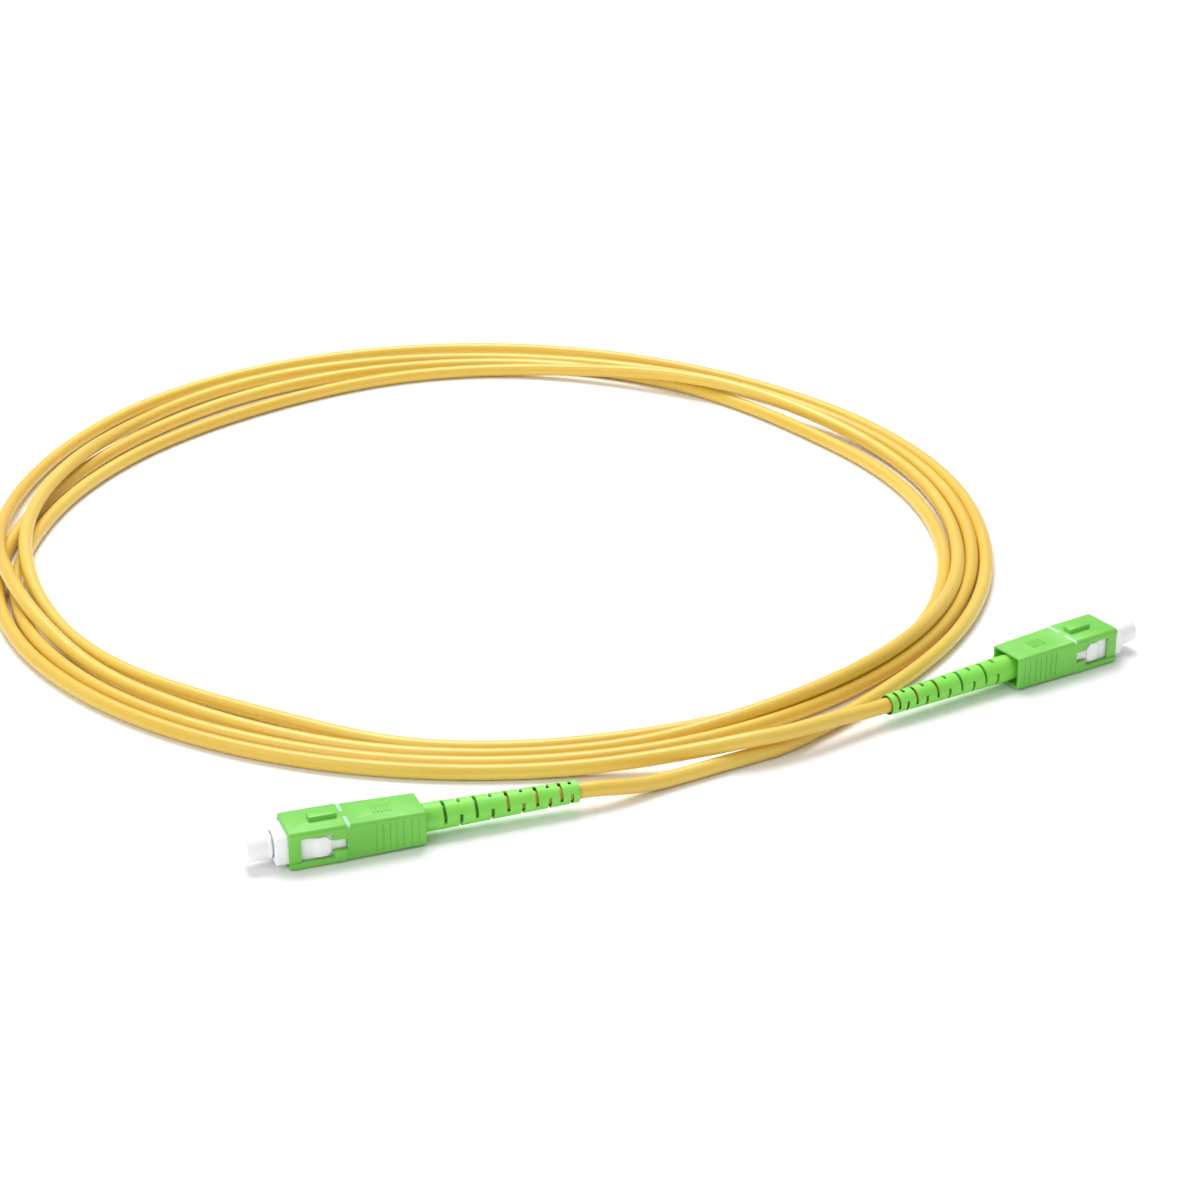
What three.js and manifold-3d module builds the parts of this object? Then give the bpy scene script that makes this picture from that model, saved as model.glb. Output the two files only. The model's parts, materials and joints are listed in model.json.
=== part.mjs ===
// Simplex fibre optic patch cord: a coiled 3 mm cable with an SC/APC plug at each end.
// Units are millimetres and +Z is up. The cord lies on the plane Z = 0.
// The origin is on that plane, midway between the two plugs.
import * as THREE from 'three';
import { mergeVertices } from 'three/addons/utils/BufferGeometryUtils.js';
import Module from 'manifold-3d';

const wasm = await Module();
wasm.setup();

// ---------------------------------------------------------------- driving dimensions

const GAP = 0.3; // clear space between neighbouring pieces
const CABLE_D = 3.0;
const BUFFER_D = 0.9;
const FERRULE_D = 2.5;

// A plug's own frame: +X points out of the mating end, +Y left, +Z up through the key,
// and X = 0 is the front face of the outer housing.
const HOUSING = { length: 25.0, frontLength: 10.4, width: 9.0, height: 7.4, corner: 0.6 };
const GRIP = { frontWidth: 8.6, frontHeight: 7.2, rearWidth: 8.0, rearHeight: 6.6 };
const CAVITY = { width: 7.6, height: 6.2, rearWidth: 6.8, rearHeight: 5.8, depth: 15.4 };
const WINDOW = { front: -2.2, rear: -7.9, height: 4.6, tailRear: -10.5, tailHeight: 2.2 };
const CHANNEL = { rear: -8.2, height: 4.7, depth: 0.35 };
const KEY = { front: -4.5, rear: -9.6, width: 2.0, height: 0.8 };
const GROOVES = { first: -15.8, count: 5, pitch: 1.25, width: 0.5, depth: 0.25, height: 5.0 };
const FRAME = { front: 2.2, rear: -15.0, width: 7.0, height: 5.6, corner: 0.5 };
const FRAME_BORES = { noseD: 4.7, noseRear: -3.2, springD: 5.0 };
const LATCH = { front: -4.1, rear: -7.6, height: 3.2, rise: 0.6, ramp: 1.2 };
const SEAT_X = -5.2; // shoulder in the plug frame that the ferrule flange rests against
const FERRULE = { tip: 4.2, rear: -6.6, chamfer: 0.5, angle: 8 };
const FLANGE = { front: -5.5, floor: -6.9, step: -7.9, rear: -9.4, headD: 4.4, tailD: 2.6 };
const NOTCHES = { count: 4, rear: -7.0, bottom: 1.85, width: 0.8 };
const SPRING = { front: -8.4, rear: -13.0, pathD: 3.7, wireD: 0.4, turns: 6 };
const GUIDE_TUBE = { front: -9.7, rear: -15.5, outerD: 2.1 };
const CRIMP = { front: -13.5, collar: -15.3, bore: -17.0, neckFront: -17.6, neckRear: -22.0 };
const CRIMP_D = { front: 4.4, collar: 5.2, neck: 2.7, guideBore: 2.8 };
const SLEEVE = { front: -17.9, rear: -23.6, outerD: 3.9, innerD: 3.3 };
const YARN = { front: -22.3, rear: -23.8, outerD: 2.7 };
const BUFFER = { front: -10.0, rear: -29.5, passageD: BUFFER_D + 2 * GAP };
const JACKET_FRONT = -24.1;
const BOOT = { neck: 7.1, length: 29.5, bigD: 5.2, smallD: 3.95, boreD: CABLE_D + 2 * GAP };
const BOOT_SOCKET = { diameter: 4.5, floor: -23.9 }; // room for the crimped sleeve
const SLOTS = { count: 10, first: 4.0, pitch: 2.95, shrink: 0.106, width: 0.65, halfAngle: 62 };
const CAP = { front: 7.1, bore: 6.2, rear: -2.6, headD: 5.2, sleeveD: 4.1, chamfer: 0.3 };
const PLUG_AXIS_Z = HOUSING.height / 2;
const PLUG_A = { x: -31.4, y: -138.95, yaw: 199.8 }; // front face centre from the coil's centre
const PLUG_B = { x: 124.45, y: -56.5, yaw: 33.2 };

// The hand-laid ends of the cable between a boot and the coil, from the coil's centre.
const TAIL_A = [[25.8, -118.2, 3.1], [31.6, -115.2, 2.1], [38.7, -110.9, 1.6],
  [46.2, -106.3, 1.55], [53.9, -101.7, 1.55], [60.5, -96.9, 1.55], [65.4, -92.0, 1.55]];
const TAIL_B = [[73.3, -90.1, 4.3], [65.6, -94.9, 4.85], [57.8, -98.6, 4.85]];
// The turns lie in a ring that is a little longer and further back in Y than it is wide.
const COIL = { inner: 92.0, outer: 111.0, height: 6.6, corner: 2.2, stretch: 1.045, shift: 5.0 };

const ROUND = 24; // sides of a turned piece
const BITE = 0.1; // how far two shapes run into each other before they are joined or cut

// ---------------------------------------------------------------- materials

const plastic = (color, roughness) =>
  new THREE.MeshStandardMaterial({ color, roughness, metalness: 0 });
const metal = (color, roughness) =>
  new THREE.MeshStandardMaterial({ color, roughness, metalness: 1 });

const GREEN = plastic(0x6fcf45, 0.4);
const BOOT_GREEN = plastic(0x7de352, 0.55);
const WHITE = plastic(0xececf0, 0.35);
const CAP_WHITE = plastic(0xf4f4f6, 0.5);
const CERAMIC = plastic(0xf6f6f2, 0.15);
const YELLOW = plastic(0xf2c744, 0.45);
const CLEAR_TUBE = plastic(0xe6e6e0, 0.4);
const ARAMID = plastic(0xe8c75a, 0.8);
const NICKEL = metal(0xc9c6bf, 0.3);
const STEEL = metal(0xb9bcc0, 0.25);

// ---------------------------------------------------------------- shape helpers

/** A closed three.js geometry as a manifold solid. */
function toSolid(geometry) {
  const bare = geometry.index ? geometry.toNonIndexed() : geometry.clone();
  for (const name of Object.keys(bare.attributes)) {
    if (name !== 'position') bare.deleteAttribute(name);
  }
  const merged = mergeVertices(bare, 1e-4);
  const vertProperties = new Float32Array(merged.attributes.position.array);
  const triVerts = new Uint32Array(merged.index.array);
  return new wasm.Manifold(new wasm.Mesh({ numProp: 3, vertProperties, triVerts }));
}

/** A manifold solid as a three.js geometry. */
function toGeometry(solid) {
  const mesh = solid.getMesh();
  const geometry = new THREE.BufferGeometry();
  geometry.setAttribute('position', new THREE.BufferAttribute(mesh.vertProperties, 3));
  geometry.setIndex(new THREE.BufferAttribute(mesh.triVerts, 1));
  geometry.computeVertexNormals();
  return geometry;
}

/** A block between two corners. */
function block([x0, y0, z0], [x1, y1, z1]) {
  const geometry = new THREE.BoxGeometry(x1 - x0, y1 - y0, z1 - z0);
  return geometry.translate((x0 + x1) / 2, (y0 + y1) / 2, (z0 + z1) / 2);
}

/** A block centred on the X axis, from x0 to x1. */
function bar(x0, x1, width, height) {
  return block([x0, -width / 2, -height / 2], [x1, width / 2, height / 2]);
}

/** A shape drawn in the YZ plane and drawn out along X from x0 to x1. */
function extrudeAlongX(shape, x0, x1, curveSegments = 3) {
  const geometry = new THREE.ExtrudeGeometry(shape, {
    depth: x1 - x0, bevelEnabled: false, curveSegments,
  });
  const axes = new THREE.Matrix4().makeBasis(
    new THREE.Vector3(0, 1, 0), new THREE.Vector3(0, 0, 1), new THREE.Vector3(1, 0, 0));
  return geometry.applyMatrix4(axes).translate(x0, 0, 0);
}

/** A rectangle with round corners, centred on the origin. */
function roundedRectangle(width, height, radius) {
  const [w, h] = [width / 2 - radius, height / 2 - radius];
  const shape = new THREE.Shape();
  shape.absarc(w, h, radius, 0, Math.PI / 2);
  shape.absarc(-w, h, radius, Math.PI / 2, Math.PI);
  shape.absarc(-w, -h, radius, Math.PI, 1.5 * Math.PI);
  shape.absarc(w, -h, radius, 1.5 * Math.PI, 2 * Math.PI);
  return shape;
}

/** A piece turned about the X axis; each profile point is [radius, x], listed by rising x. */
function turned(profile, sides = ROUND) {
  const points = profile.map(([radius, x]) => new THREE.Vector2(radius, x));
  return new THREE.LatheGeometry(points, sides).rotateZ(-Math.PI / 2);
}

/** A plain turned tube from x0 to x1. */
function tube(x0, x1, outerD, innerD) {
  const [outer, inner] = [outerD / 2, innerD / 2];
  return turned([[inner, x0], [outer, x0], [outer, x1], [inner, x1], [inner, x0]]);
}

/** A plain turned rod from x0 to x1. */
function rod(x0, x1, diameter) {
  return turned([[0, x0], [diameter / 2, x0], [diameter / 2, x1], [0, x1]]);
}

/** Narrows a geometry in Y and Z by a factor that grows along X from 1 at x0. */
function taper(geometry, x0, x1, scaleY, scaleZ) {
  const position = geometry.attributes.position;
  for (let i = 0; i < position.count; i += 1) {
    const along = (position.getX(i) - x0) / (x1 - x0);
    position.setY(i, position.getY(i) * THREE.MathUtils.lerp(1, scaleY, along));
    position.setZ(i, position.getZ(i) * THREE.MathUtils.lerp(1, scaleZ, along));
  }
  return geometry;
}

/** A round section swept along a curve. */
function swept(curve, diameter, sides, steps) {
  const shape = new THREE.Shape();
  for (let i = 0; i < sides; i += 1) {
    const angle = (i * 2 * Math.PI) / sides;
    const [x, y] = [Math.cos(angle) * diameter / 2, Math.sin(angle) * diameter / 2];
    if (i === 0) shape.moveTo(x, y);
    else shape.lineTo(x, y);
  }
  return new THREE.ExtrudeGeometry(shape, { steps, extrudePath: curve, bevelEnabled: false });
}

/** A helix about the X axis. */
class Helix extends THREE.Curve {
  constructor(radius, x0, x1, turns) {
    super();
    Object.assign(this, { radius, x0, x1, turns });
  }

  getPoint(t, target = new THREE.Vector3()) {
    const angle = t * this.turns * 2 * Math.PI;
    const x = THREE.MathUtils.lerp(this.x0, this.x1, t);
    return target.set(x, this.radius * Math.cos(angle), this.radius * Math.sin(angle));
  }
}

// ---------------------------------------------------------------- pieces of one plug

/** Half the grip's width at a place along the plug. */
function gripHalfWidth(x) {
  const along = (x + HOUSING.frontLength) / (HOUSING.frontLength - HOUSING.length);
  return THREE.MathUtils.lerp(GRIP.frontWidth, GRIP.rearWidth, along) / 2;
}

/** The push-pull outer housing: key on top, a latch window in each side, ribbed grip. */
function outerHousing() {
  const { length, frontLength, width, height, corner } = HOUSING;
  const front = extrudeAlongX(roundedRectangle(width, height, corner), -frontLength, 0);
  const grip = taper(
    extrudeAlongX(roundedRectangle(GRIP.frontWidth, GRIP.frontHeight, corner),
      -length, -frontLength + BITE),
    -frontLength, -length,
    GRIP.rearWidth / GRIP.frontWidth, GRIP.rearHeight / GRIP.frontHeight);
  const key = block([KEY.rear, -KEY.width / 2, height / 2 - BITE],
    [KEY.front, KEY.width / 2, height / 2 + KEY.height]);
  let solid = toSolid(front).add(toSolid(grip)).add(toSolid(key));

  solid = solid.subtract(toSolid(bar(-CAVITY.depth, 1, CAVITY.width, CAVITY.height)));
  solid = solid.subtract(
    toSolid(bar(-length - 1, -CAVITY.depth + BITE, CAVITY.rearWidth, CAVITY.rearHeight)));
  solid = solid.subtract(toSolid(bar(WINDOW.rear, WINDOW.front, width + 1, WINDOW.height)));
  solid = solid.subtract(
    toSolid(bar(WINDOW.tailRear, WINDOW.rear + BITE, width + 1, WINDOW.tailHeight)));
  for (const side of [-1, 1]) {
    const floor = side * (width / 2 - CHANNEL.depth);
    const outside = side * (width / 2 + 1);
    const [y0, y1] = [Math.min(floor, outside), Math.max(floor, outside)];
    solid = solid.subtract(
      toSolid(block([CHANNEL.rear, y0, -CHANNEL.height / 2], [1, y1, CHANNEL.height / 2])));
    for (let i = 0; i < GROOVES.count; i += 1) {
      const x = GROOVES.first - i * GROOVES.pitch;
      const bottom = side * (gripHalfWidth(x) - GROOVES.depth);
      const [g0, g1] = [Math.min(bottom, outside), Math.max(bottom, outside)];
      solid = solid.subtract(toSolid(block(
        [x - GROOVES.width / 2, g0, -GROOVES.height / 2],
        [x + GROOVES.width / 2, g1, GROOVES.height / 2])));
    }
  }
  return toGeometry(solid);
}

/** A ramped latch bump on the plug frame's left side. */
function latchBump() {
  const side = FRAME.width / 2;
  const shape = new THREE.Shape([
    new THREE.Vector2(LATCH.rear, side - BITE),
    new THREE.Vector2(LATCH.front, side - BITE),
    new THREE.Vector2(LATCH.front, side + LATCH.rise / 4),
    new THREE.Vector2(LATCH.front - LATCH.ramp, side + LATCH.rise),
    new THREE.Vector2(LATCH.rear, side + LATCH.rise),
  ]);
  return new THREE.ExtrudeGeometry(shape, { depth: LATCH.height, bevelEnabled: false })
    .translate(0, 0, -LATCH.height / 2);
}

/** The inner plug frame: holds the ferrule and spring, and carries the two latch bumps. */
function plugFrame() {
  const body = extrudeAlongX(
    roundedRectangle(FRAME.width, FRAME.height, FRAME.corner), FRAME.rear, FRAME.front);
  const { noseD, noseRear, springD } = FRAME_BORES;
  const noseBore = rod(noseRear, FRAME.front + 1, noseD);
  const ferruleHole = rod(SEAT_X - BITE, noseRear + BITE, FERRULE_D + 2 * GAP);
  const springBore = rod(FRAME.rear - 1, SEAT_X, springD);
  const otherBump = latchBump().rotateX(Math.PI);
  let solid = toSolid(body).add(toSolid(latchBump())).add(toSolid(otherBump));
  for (const bore of [noseBore, ferruleHole, springBore]) {
    solid = solid.subtract(toSolid(bore));
  }
  return toGeometry(solid);
}

/** The ceramic ferrule, its end polished at eight degrees. */
function ferrule() {
  const radius = FERRULE_D / 2;
  const cylinder = turned([[0, FERRULE.rear], [radius, FERRULE.rear],
    [radius, FERRULE.tip - FERRULE.chamfer], [radius - FERRULE.chamfer, FERRULE.tip],
    [0, FERRULE.tip]]);
  const angle = THREE.MathUtils.degToRad(FERRULE.angle);
  const polish = bar(0, 2, 2 * FERRULE_D, 2 * FERRULE_D).rotateY(-angle)
    .translate(FERRULE.tip - BITE, 0, 0);
  return toGeometry(toSolid(cylinder).subtract(toSolid(polish)));
}

/** The metal flange that the ferrule is pressed into, with four tuning notches. */
function ferruleFlange() {
  const { front, floor, step, rear } = FLANGE;
  const [head, back] = [FLANGE.headD / 2, FLANGE.tailD / 2];
  const [socket, passage] = [FERRULE_D / 2 + GAP, BUFFER.passageD / 2];
  const profile = [[passage, rear], [back, rear], [back, step], [head, step], [head, front],
    [socket, front], [socket, floor], [passage, floor], [passage, rear]];
  let solid = toSolid(turned(profile));
  for (let i = 0; i < NOTCHES.count; i += 1) {
    const notch = block([NOTCHES.rear, NOTCHES.bottom, -NOTCHES.width / 2],
      [front + 1, head + 1, NOTCHES.width / 2]);
    notch.rotateX((i * 2 * Math.PI) / NOTCHES.count);
    solid = solid.subtract(toSolid(notch));
  }
  return toGeometry(solid);
}

/** The coil spring that pushes the ferrule forward. */
function spring() {
  const { front, rear, pathD, wireD, turns } = SPRING;
  return swept(new Helix(pathD / 2, front, rear, turns), wireD, 6, 11 * turns);
}

/** The soft tube that leads the buffered fibre through the spring. */
function guideTube() {
  return tube(GUIDE_TUBE.rear, GUIDE_TUBE.front, GUIDE_TUBE.outerD, BUFFER.passageD);
}

/** The metal stop ring behind the spring, with the neck that the cable is crimped on. */
function crimpBody() {
  const { front, collar, bore, neckFront, neckRear } = CRIMP;
  const [plug, rim, neck] = [CRIMP_D.front / 2, CRIMP_D.collar / 2, CRIMP_D.neck / 2];
  const [guide, passage] = [CRIMP_D.guideBore / 2, BUFFER.passageD / 2];
  return turned([[passage, neckRear], [neck, neckRear], [neck, neckFront], [rim, neckFront],
    [rim, collar], [plug, collar], [plug, front], [guide, front], [guide, bore],
    [passage, bore], [passage, neckRear]]);
}

/** The metal ring crimped over the neck. */
function crimpSleeve() {
  return tube(SLEEVE.rear, SLEEVE.front, SLEEVE.outerD, SLEEVE.innerD);
}

/** The strength yarn between the neck and the end of the jacket. */
function aramidYarn() {
  return tube(YARN.rear, YARN.front, YARN.outerD, BUFFER.passageD);
}

/** The 0.9 mm buffered fibre from the ferrule flange into the jacket. */
function buffer() {
  return rod(BUFFER.rear, BUFFER.front, BUFFER_D);
}

/** The last stretch of cable jacket, inside the boot. */
function jacketEnd() {
  const tip = -HOUSING.length - BOOT.length + GAP;
  const [radius, passage, floor] = [CABLE_D / 2, BUFFER.passageD / 2, BUFFER.rear - 0.5];
  return turned([[0, tip], [radius, tip], [radius, JACKET_FRONT], [passage, JACKET_FRONT],
    [passage, floor], [0, floor]]);
}

/** How far a slot ring lies behind the housing; the rings close up towards the tip. */
function slotPlace(i) {
  return SLOTS.first + SLOTS.pitch * i - SLOTS.shrink * Math.max(0, i - 4) ** 2;
}

/** One slot of the boot: an arc wide and a slot's width long. */
function bootSlot(x, middleAngle) {
  const [near, far] = [BOOT.boreD / 2 - BITE, BOOT.bigD / 2 + 1];
  const [from, to] = [middleAngle - SLOTS.halfAngle, middleAngle + SLOTS.halfAngle]
    .map(THREE.MathUtils.degToRad);
  const shape = new THREE.Shape();
  shape.absarc(0, 0, far, from, to);
  shape.absarc(0, 0, near, to, from, true);
  return extrudeAlongX(shape, x - SLOTS.width / 2, x + SLOTS.width / 2);
}

/** The tapered bend-relief boot, with rings of two opposite slots turned by 90 degrees. */
function boot() {
  const collarX = -HOUSING.length;
  const tip = collarX - BOOT.length;
  const [big, small, bore] = [BOOT.bigD / 2, BOOT.smallD / 2, BOOT.boreD / 2];
  const front = collarX + BOOT.neck;
  const [socket, floor] = [BOOT_SOCKET.diameter / 2, BOOT_SOCKET.floor];
  const profile = [[bore, tip], [small, tip], [big, collarX - 2.5], [big, front],
    [socket, front], [socket, floor], [bore, floor], [bore, tip]];
  let solid = toSolid(turned(profile));
  for (let i = 0; i < SLOTS.count; i += 1) {
    const x = collarX - slotPlace(i);
    const angle = 45 + 90 * (i % 2);
    solid = solid.subtract(toSolid(bootSlot(x, angle)));
    solid = solid.subtract(toSolid(bootSlot(x, angle + 180)));
  }
  return toGeometry(solid);
}

/** The dust cap: a head outside the plug frame and a sleeve around the ferrule. */
function dustCap() {
  const { front, rear, chamfer } = CAP;
  const [hole, sleeve, head] = [FERRULE_D / 2 + GAP, CAP.sleeveD / 2, CAP.headD / 2];
  const shoulder = FRAME.front + GAP;
  return turned([[hole, rear], [sleeve, rear], [sleeve, shoulder], [head, shoulder],
    [head, front - chamfer], [head - chamfer, front], [0, front], [0, CAP.bore],
    [hole, CAP.bore], [hole, rear]]);
}

// ---------------------------------------------------------------- the assembly

function named(name, geometry, material) {
  const mesh = new THREE.Mesh(geometry, material);
  mesh.name = name;
  return mesh;
}

/** One complete plug; every node's name ends with the plug's letter. */
function plug(letter, { x, y, yaw }) {
  const group = new THREE.Group();
  group.add(
    named(`outer_housing_${letter}`, outerHousing(), GREEN),
    named(`plug_frame_${letter}`, plugFrame(), WHITE),
    named(`dust_cap_${letter}`, dustCap(), CAP_WHITE),
    named(`ferrule_${letter}`, ferrule(), CERAMIC),
    named(`ferrule_flange_${letter}`, ferruleFlange(), NICKEL),
    named(`guide_tube_${letter}`, guideTube(), CLEAR_TUBE),
    named(`spring_${letter}`, spring(), STEEL),
    named(`crimp_body_${letter}`, crimpBody(), NICKEL),
    named(`crimp_sleeve_${letter}`, crimpSleeve(), NICKEL),
    named(`aramid_yarn_${letter}`, aramidYarn(), ARAMID),
    named(`fibre_buffer_${letter}`, buffer(), WHITE),
    named(`jacket_end_${letter}`, jacketEnd(), YELLOW),
    named(`boot_${letter}`, boot(), BOOT_GREEN),
  );
  group.rotation.z = THREE.MathUtils.degToRad(yaw);
  group.position.set(x, y, PLUG_AXIS_Z);
  return group;
}

/** The cable between a boot's tip and the coil, along hand-laid points. */
function tail({ x, y, yaw }, route) {
  const angle = THREE.MathUtils.degToRad(yaw);
  const reach = HOUSING.length + BOOT.length + GAP;
  const start = new THREE.Vector3(
    x - reach * Math.cos(angle), y - reach * Math.sin(angle), PLUG_AXIS_Z);
  const points = [start, ...route.map((point) => new THREE.Vector3(...point))];
  const curve = new THREE.CatmullRomCurve3(points);
  const steps = Math.round(curve.getLength() / (2.2 * CABLE_D));
  return swept(curve, CABLE_D, 8, steps);
}

/** The outer shape of the coiled turns. */
function coil() {
  const { inner, outer, height, corner, stretch, shift } = COIL;
  const profile = [[inner + corner, 0], [outer - corner, 0], [outer, corner],
    [outer, height - corner], [outer - corner, height], [inner + corner, height],
    [inner, height - corner], [inner, corner], [inner + corner, 0]];
  const points = profile.map(([radius, z]) => new THREE.Vector2(radius, z));
  return new THREE.LatheGeometry(points, 60).rotateX(Math.PI / 2)
    .scale(1, stretch, 1).translate(0, shift, 0);
}

const plugs = new THREE.Group();
plugs.add(plug('a', PLUG_A), plug('b', PLUG_B));
const between = new THREE.Box3().setFromObject(plugs, true).getCenter(new THREE.Vector3());

const cord = new THREE.Group();
cord.add(
  plugs,
  named('cable_tail_a', tail(PLUG_A, TAIL_A), YELLOW),
  named('cable_coil', coil(), YELLOW),
  named('cable_tail_b', tail(PLUG_B, TAIL_B), YELLOW),
);
cord.position.set(-between.x, -between.y, 0);

const part = new THREE.Group();
part.add(cord);
part.updateMatrixWorld(true);

export default part;
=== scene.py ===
"""Simplex fibre optic patch cord: a coiled 3 mm cable with a green SC plug at each end.

Each plug is drawn in its own frame, in millimetres: +X points out of the mating end, +Z is up
through the key, and X = 0 is the front face of the outer housing. A Placement turns that frame
into the row frame, in metres, where everything ends up.
"""
import json
import logging
import math
from dataclasses import dataclass, field
from enum import Enum
from typing import Any, Sequence

import bmesh
import bpy
from mathutils import Matrix, Vector


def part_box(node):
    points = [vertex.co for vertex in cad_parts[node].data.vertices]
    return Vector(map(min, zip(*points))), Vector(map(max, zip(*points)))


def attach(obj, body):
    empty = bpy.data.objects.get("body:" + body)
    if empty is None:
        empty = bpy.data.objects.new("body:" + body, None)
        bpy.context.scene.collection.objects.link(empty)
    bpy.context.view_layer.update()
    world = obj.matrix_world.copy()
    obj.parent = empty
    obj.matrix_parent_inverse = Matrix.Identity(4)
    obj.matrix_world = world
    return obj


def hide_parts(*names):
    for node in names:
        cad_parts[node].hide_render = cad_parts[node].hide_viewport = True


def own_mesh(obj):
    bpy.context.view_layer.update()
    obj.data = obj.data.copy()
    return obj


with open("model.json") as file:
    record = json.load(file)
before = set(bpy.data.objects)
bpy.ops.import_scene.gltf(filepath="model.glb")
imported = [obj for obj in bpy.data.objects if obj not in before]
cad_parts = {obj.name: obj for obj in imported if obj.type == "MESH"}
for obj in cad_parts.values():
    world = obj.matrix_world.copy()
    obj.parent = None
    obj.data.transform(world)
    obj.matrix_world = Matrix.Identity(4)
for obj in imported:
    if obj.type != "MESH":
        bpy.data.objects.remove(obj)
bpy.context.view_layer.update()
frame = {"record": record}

LOG = logging.getLogger("patch_cord")

MM = 0.001
MERGED = 1e-5  # points closer than this are one point
Span = tuple[float, float]
Colour = tuple[float, float, float, float]
Thing = bpy.types.Object

PLACE = "plug_place"  # attribute with a point's place in its plug's own frame, in millimetres
ROUNDED_ANGLE = math.radians(32)  # edges at least this sharp are rounded
SHADED_SHARP_ANGLE = math.radians(38)  # and at least this sharp are shaded as edges


class Slot(Enum):
    """The record's material slots."""

    HOUSING = "housing"
    BOOT = "boot"
    PLUG_FRAME = "plug_frame"
    DUST_CAP = "dust_cap"
    FERRULE = "ferrule"
    NICKEL = "nickel"
    SPRING = "spring_steel"
    GUIDE_TUBE = "guide_tube"
    YARN = "yarn"
    BUFFER = "buffer"
    JACKET = "jacket"


class Motion(Enum):
    """The parts of a plug that move on their own, and what their CAD bodies are called."""

    CORD = "cord"
    HOUSING = "housing_{letter}"
    FERRULE = "ferrule_{letter}"
    CAP = "cap_{letter}"


# ---- node maths


def srgb(red: int, green: int, blue: int) -> Colour:
    """Turns an 8-bit screen colour into the linear colour that a shader takes.

    Args:
        red: 0 to 255.
        green: 0 to 255.
        blue: 0 to 255.

    Returns:
        The linear colour with full alpha.
    """

    def linear(value: int) -> float:
        """One channel, from 0-255 on screen to linear 0-1."""
        share = value / 255
        return share / 12.92 if share <= 0.04045 else ((share + 0.055) / 1.055) ** 2.4

    return (linear(red), linear(green), linear(blue), 1.0)


class Signal:
    """A node socket that adds, multiplies and compares like a number."""

    def __init__(self, graph: "Graph", socket: bpy.types.NodeSocket) -> None:
        """Wraps one output socket of a graph."""
        self.graph = graph
        self.socket = socket

    def maths(self, operation: str, *others: Any) -> "Signal":
        """Runs one Math node on this signal and the other operands."""
        values = dict(enumerate((self, *others)))
        return self.graph.node("ShaderNodeMath", values, operation=operation)

    def __add__(self, other: Any) -> "Signal":
        """Adds."""
        return self.maths("ADD", other)

    __radd__ = __add__

    def __sub__(self, other: Any) -> "Signal":
        """Subtracts."""
        return self.maths("SUBTRACT", other)

    def __rsub__(self, other: float) -> "Signal":
        """Subtracts from a number."""
        return self.graph.node("ShaderNodeMath", {0: other, 1: self}, operation="SUBTRACT")

    def __mul__(self, other: Any) -> "Signal":
        """Multiplies."""
        return self.maths("MULTIPLY", other)

    __rmul__ = __mul__

    def __truediv__(self, other: Any) -> "Signal":
        """Divides."""
        return self.maths("DIVIDE", other)

    def __abs__(self) -> "Signal":
        """Drops the sign."""
        return self.maths("ABSOLUTE")

    def step(self, start: float, end: float) -> "Signal":
        """Rises smoothly from 0 at start to 1 at end.

        Args:
            start: where the result leaves 0.
            end: where it reaches 1.

        Returns:
            The eased share between the two.
        """
        values = {"Value": self, "From Min": start, "From Max": end}
        return self.graph.node("ShaderNodeMapRange", values, interpolation_type="SMOOTHSTEP")

    def band(self, start: float, end: float, edge: float) -> "Signal":
        """1 between start and end, with edges that fade over a short way."""
        return self.step(start - edge, start) * (1 - self.step(end, end + edge))


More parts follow.
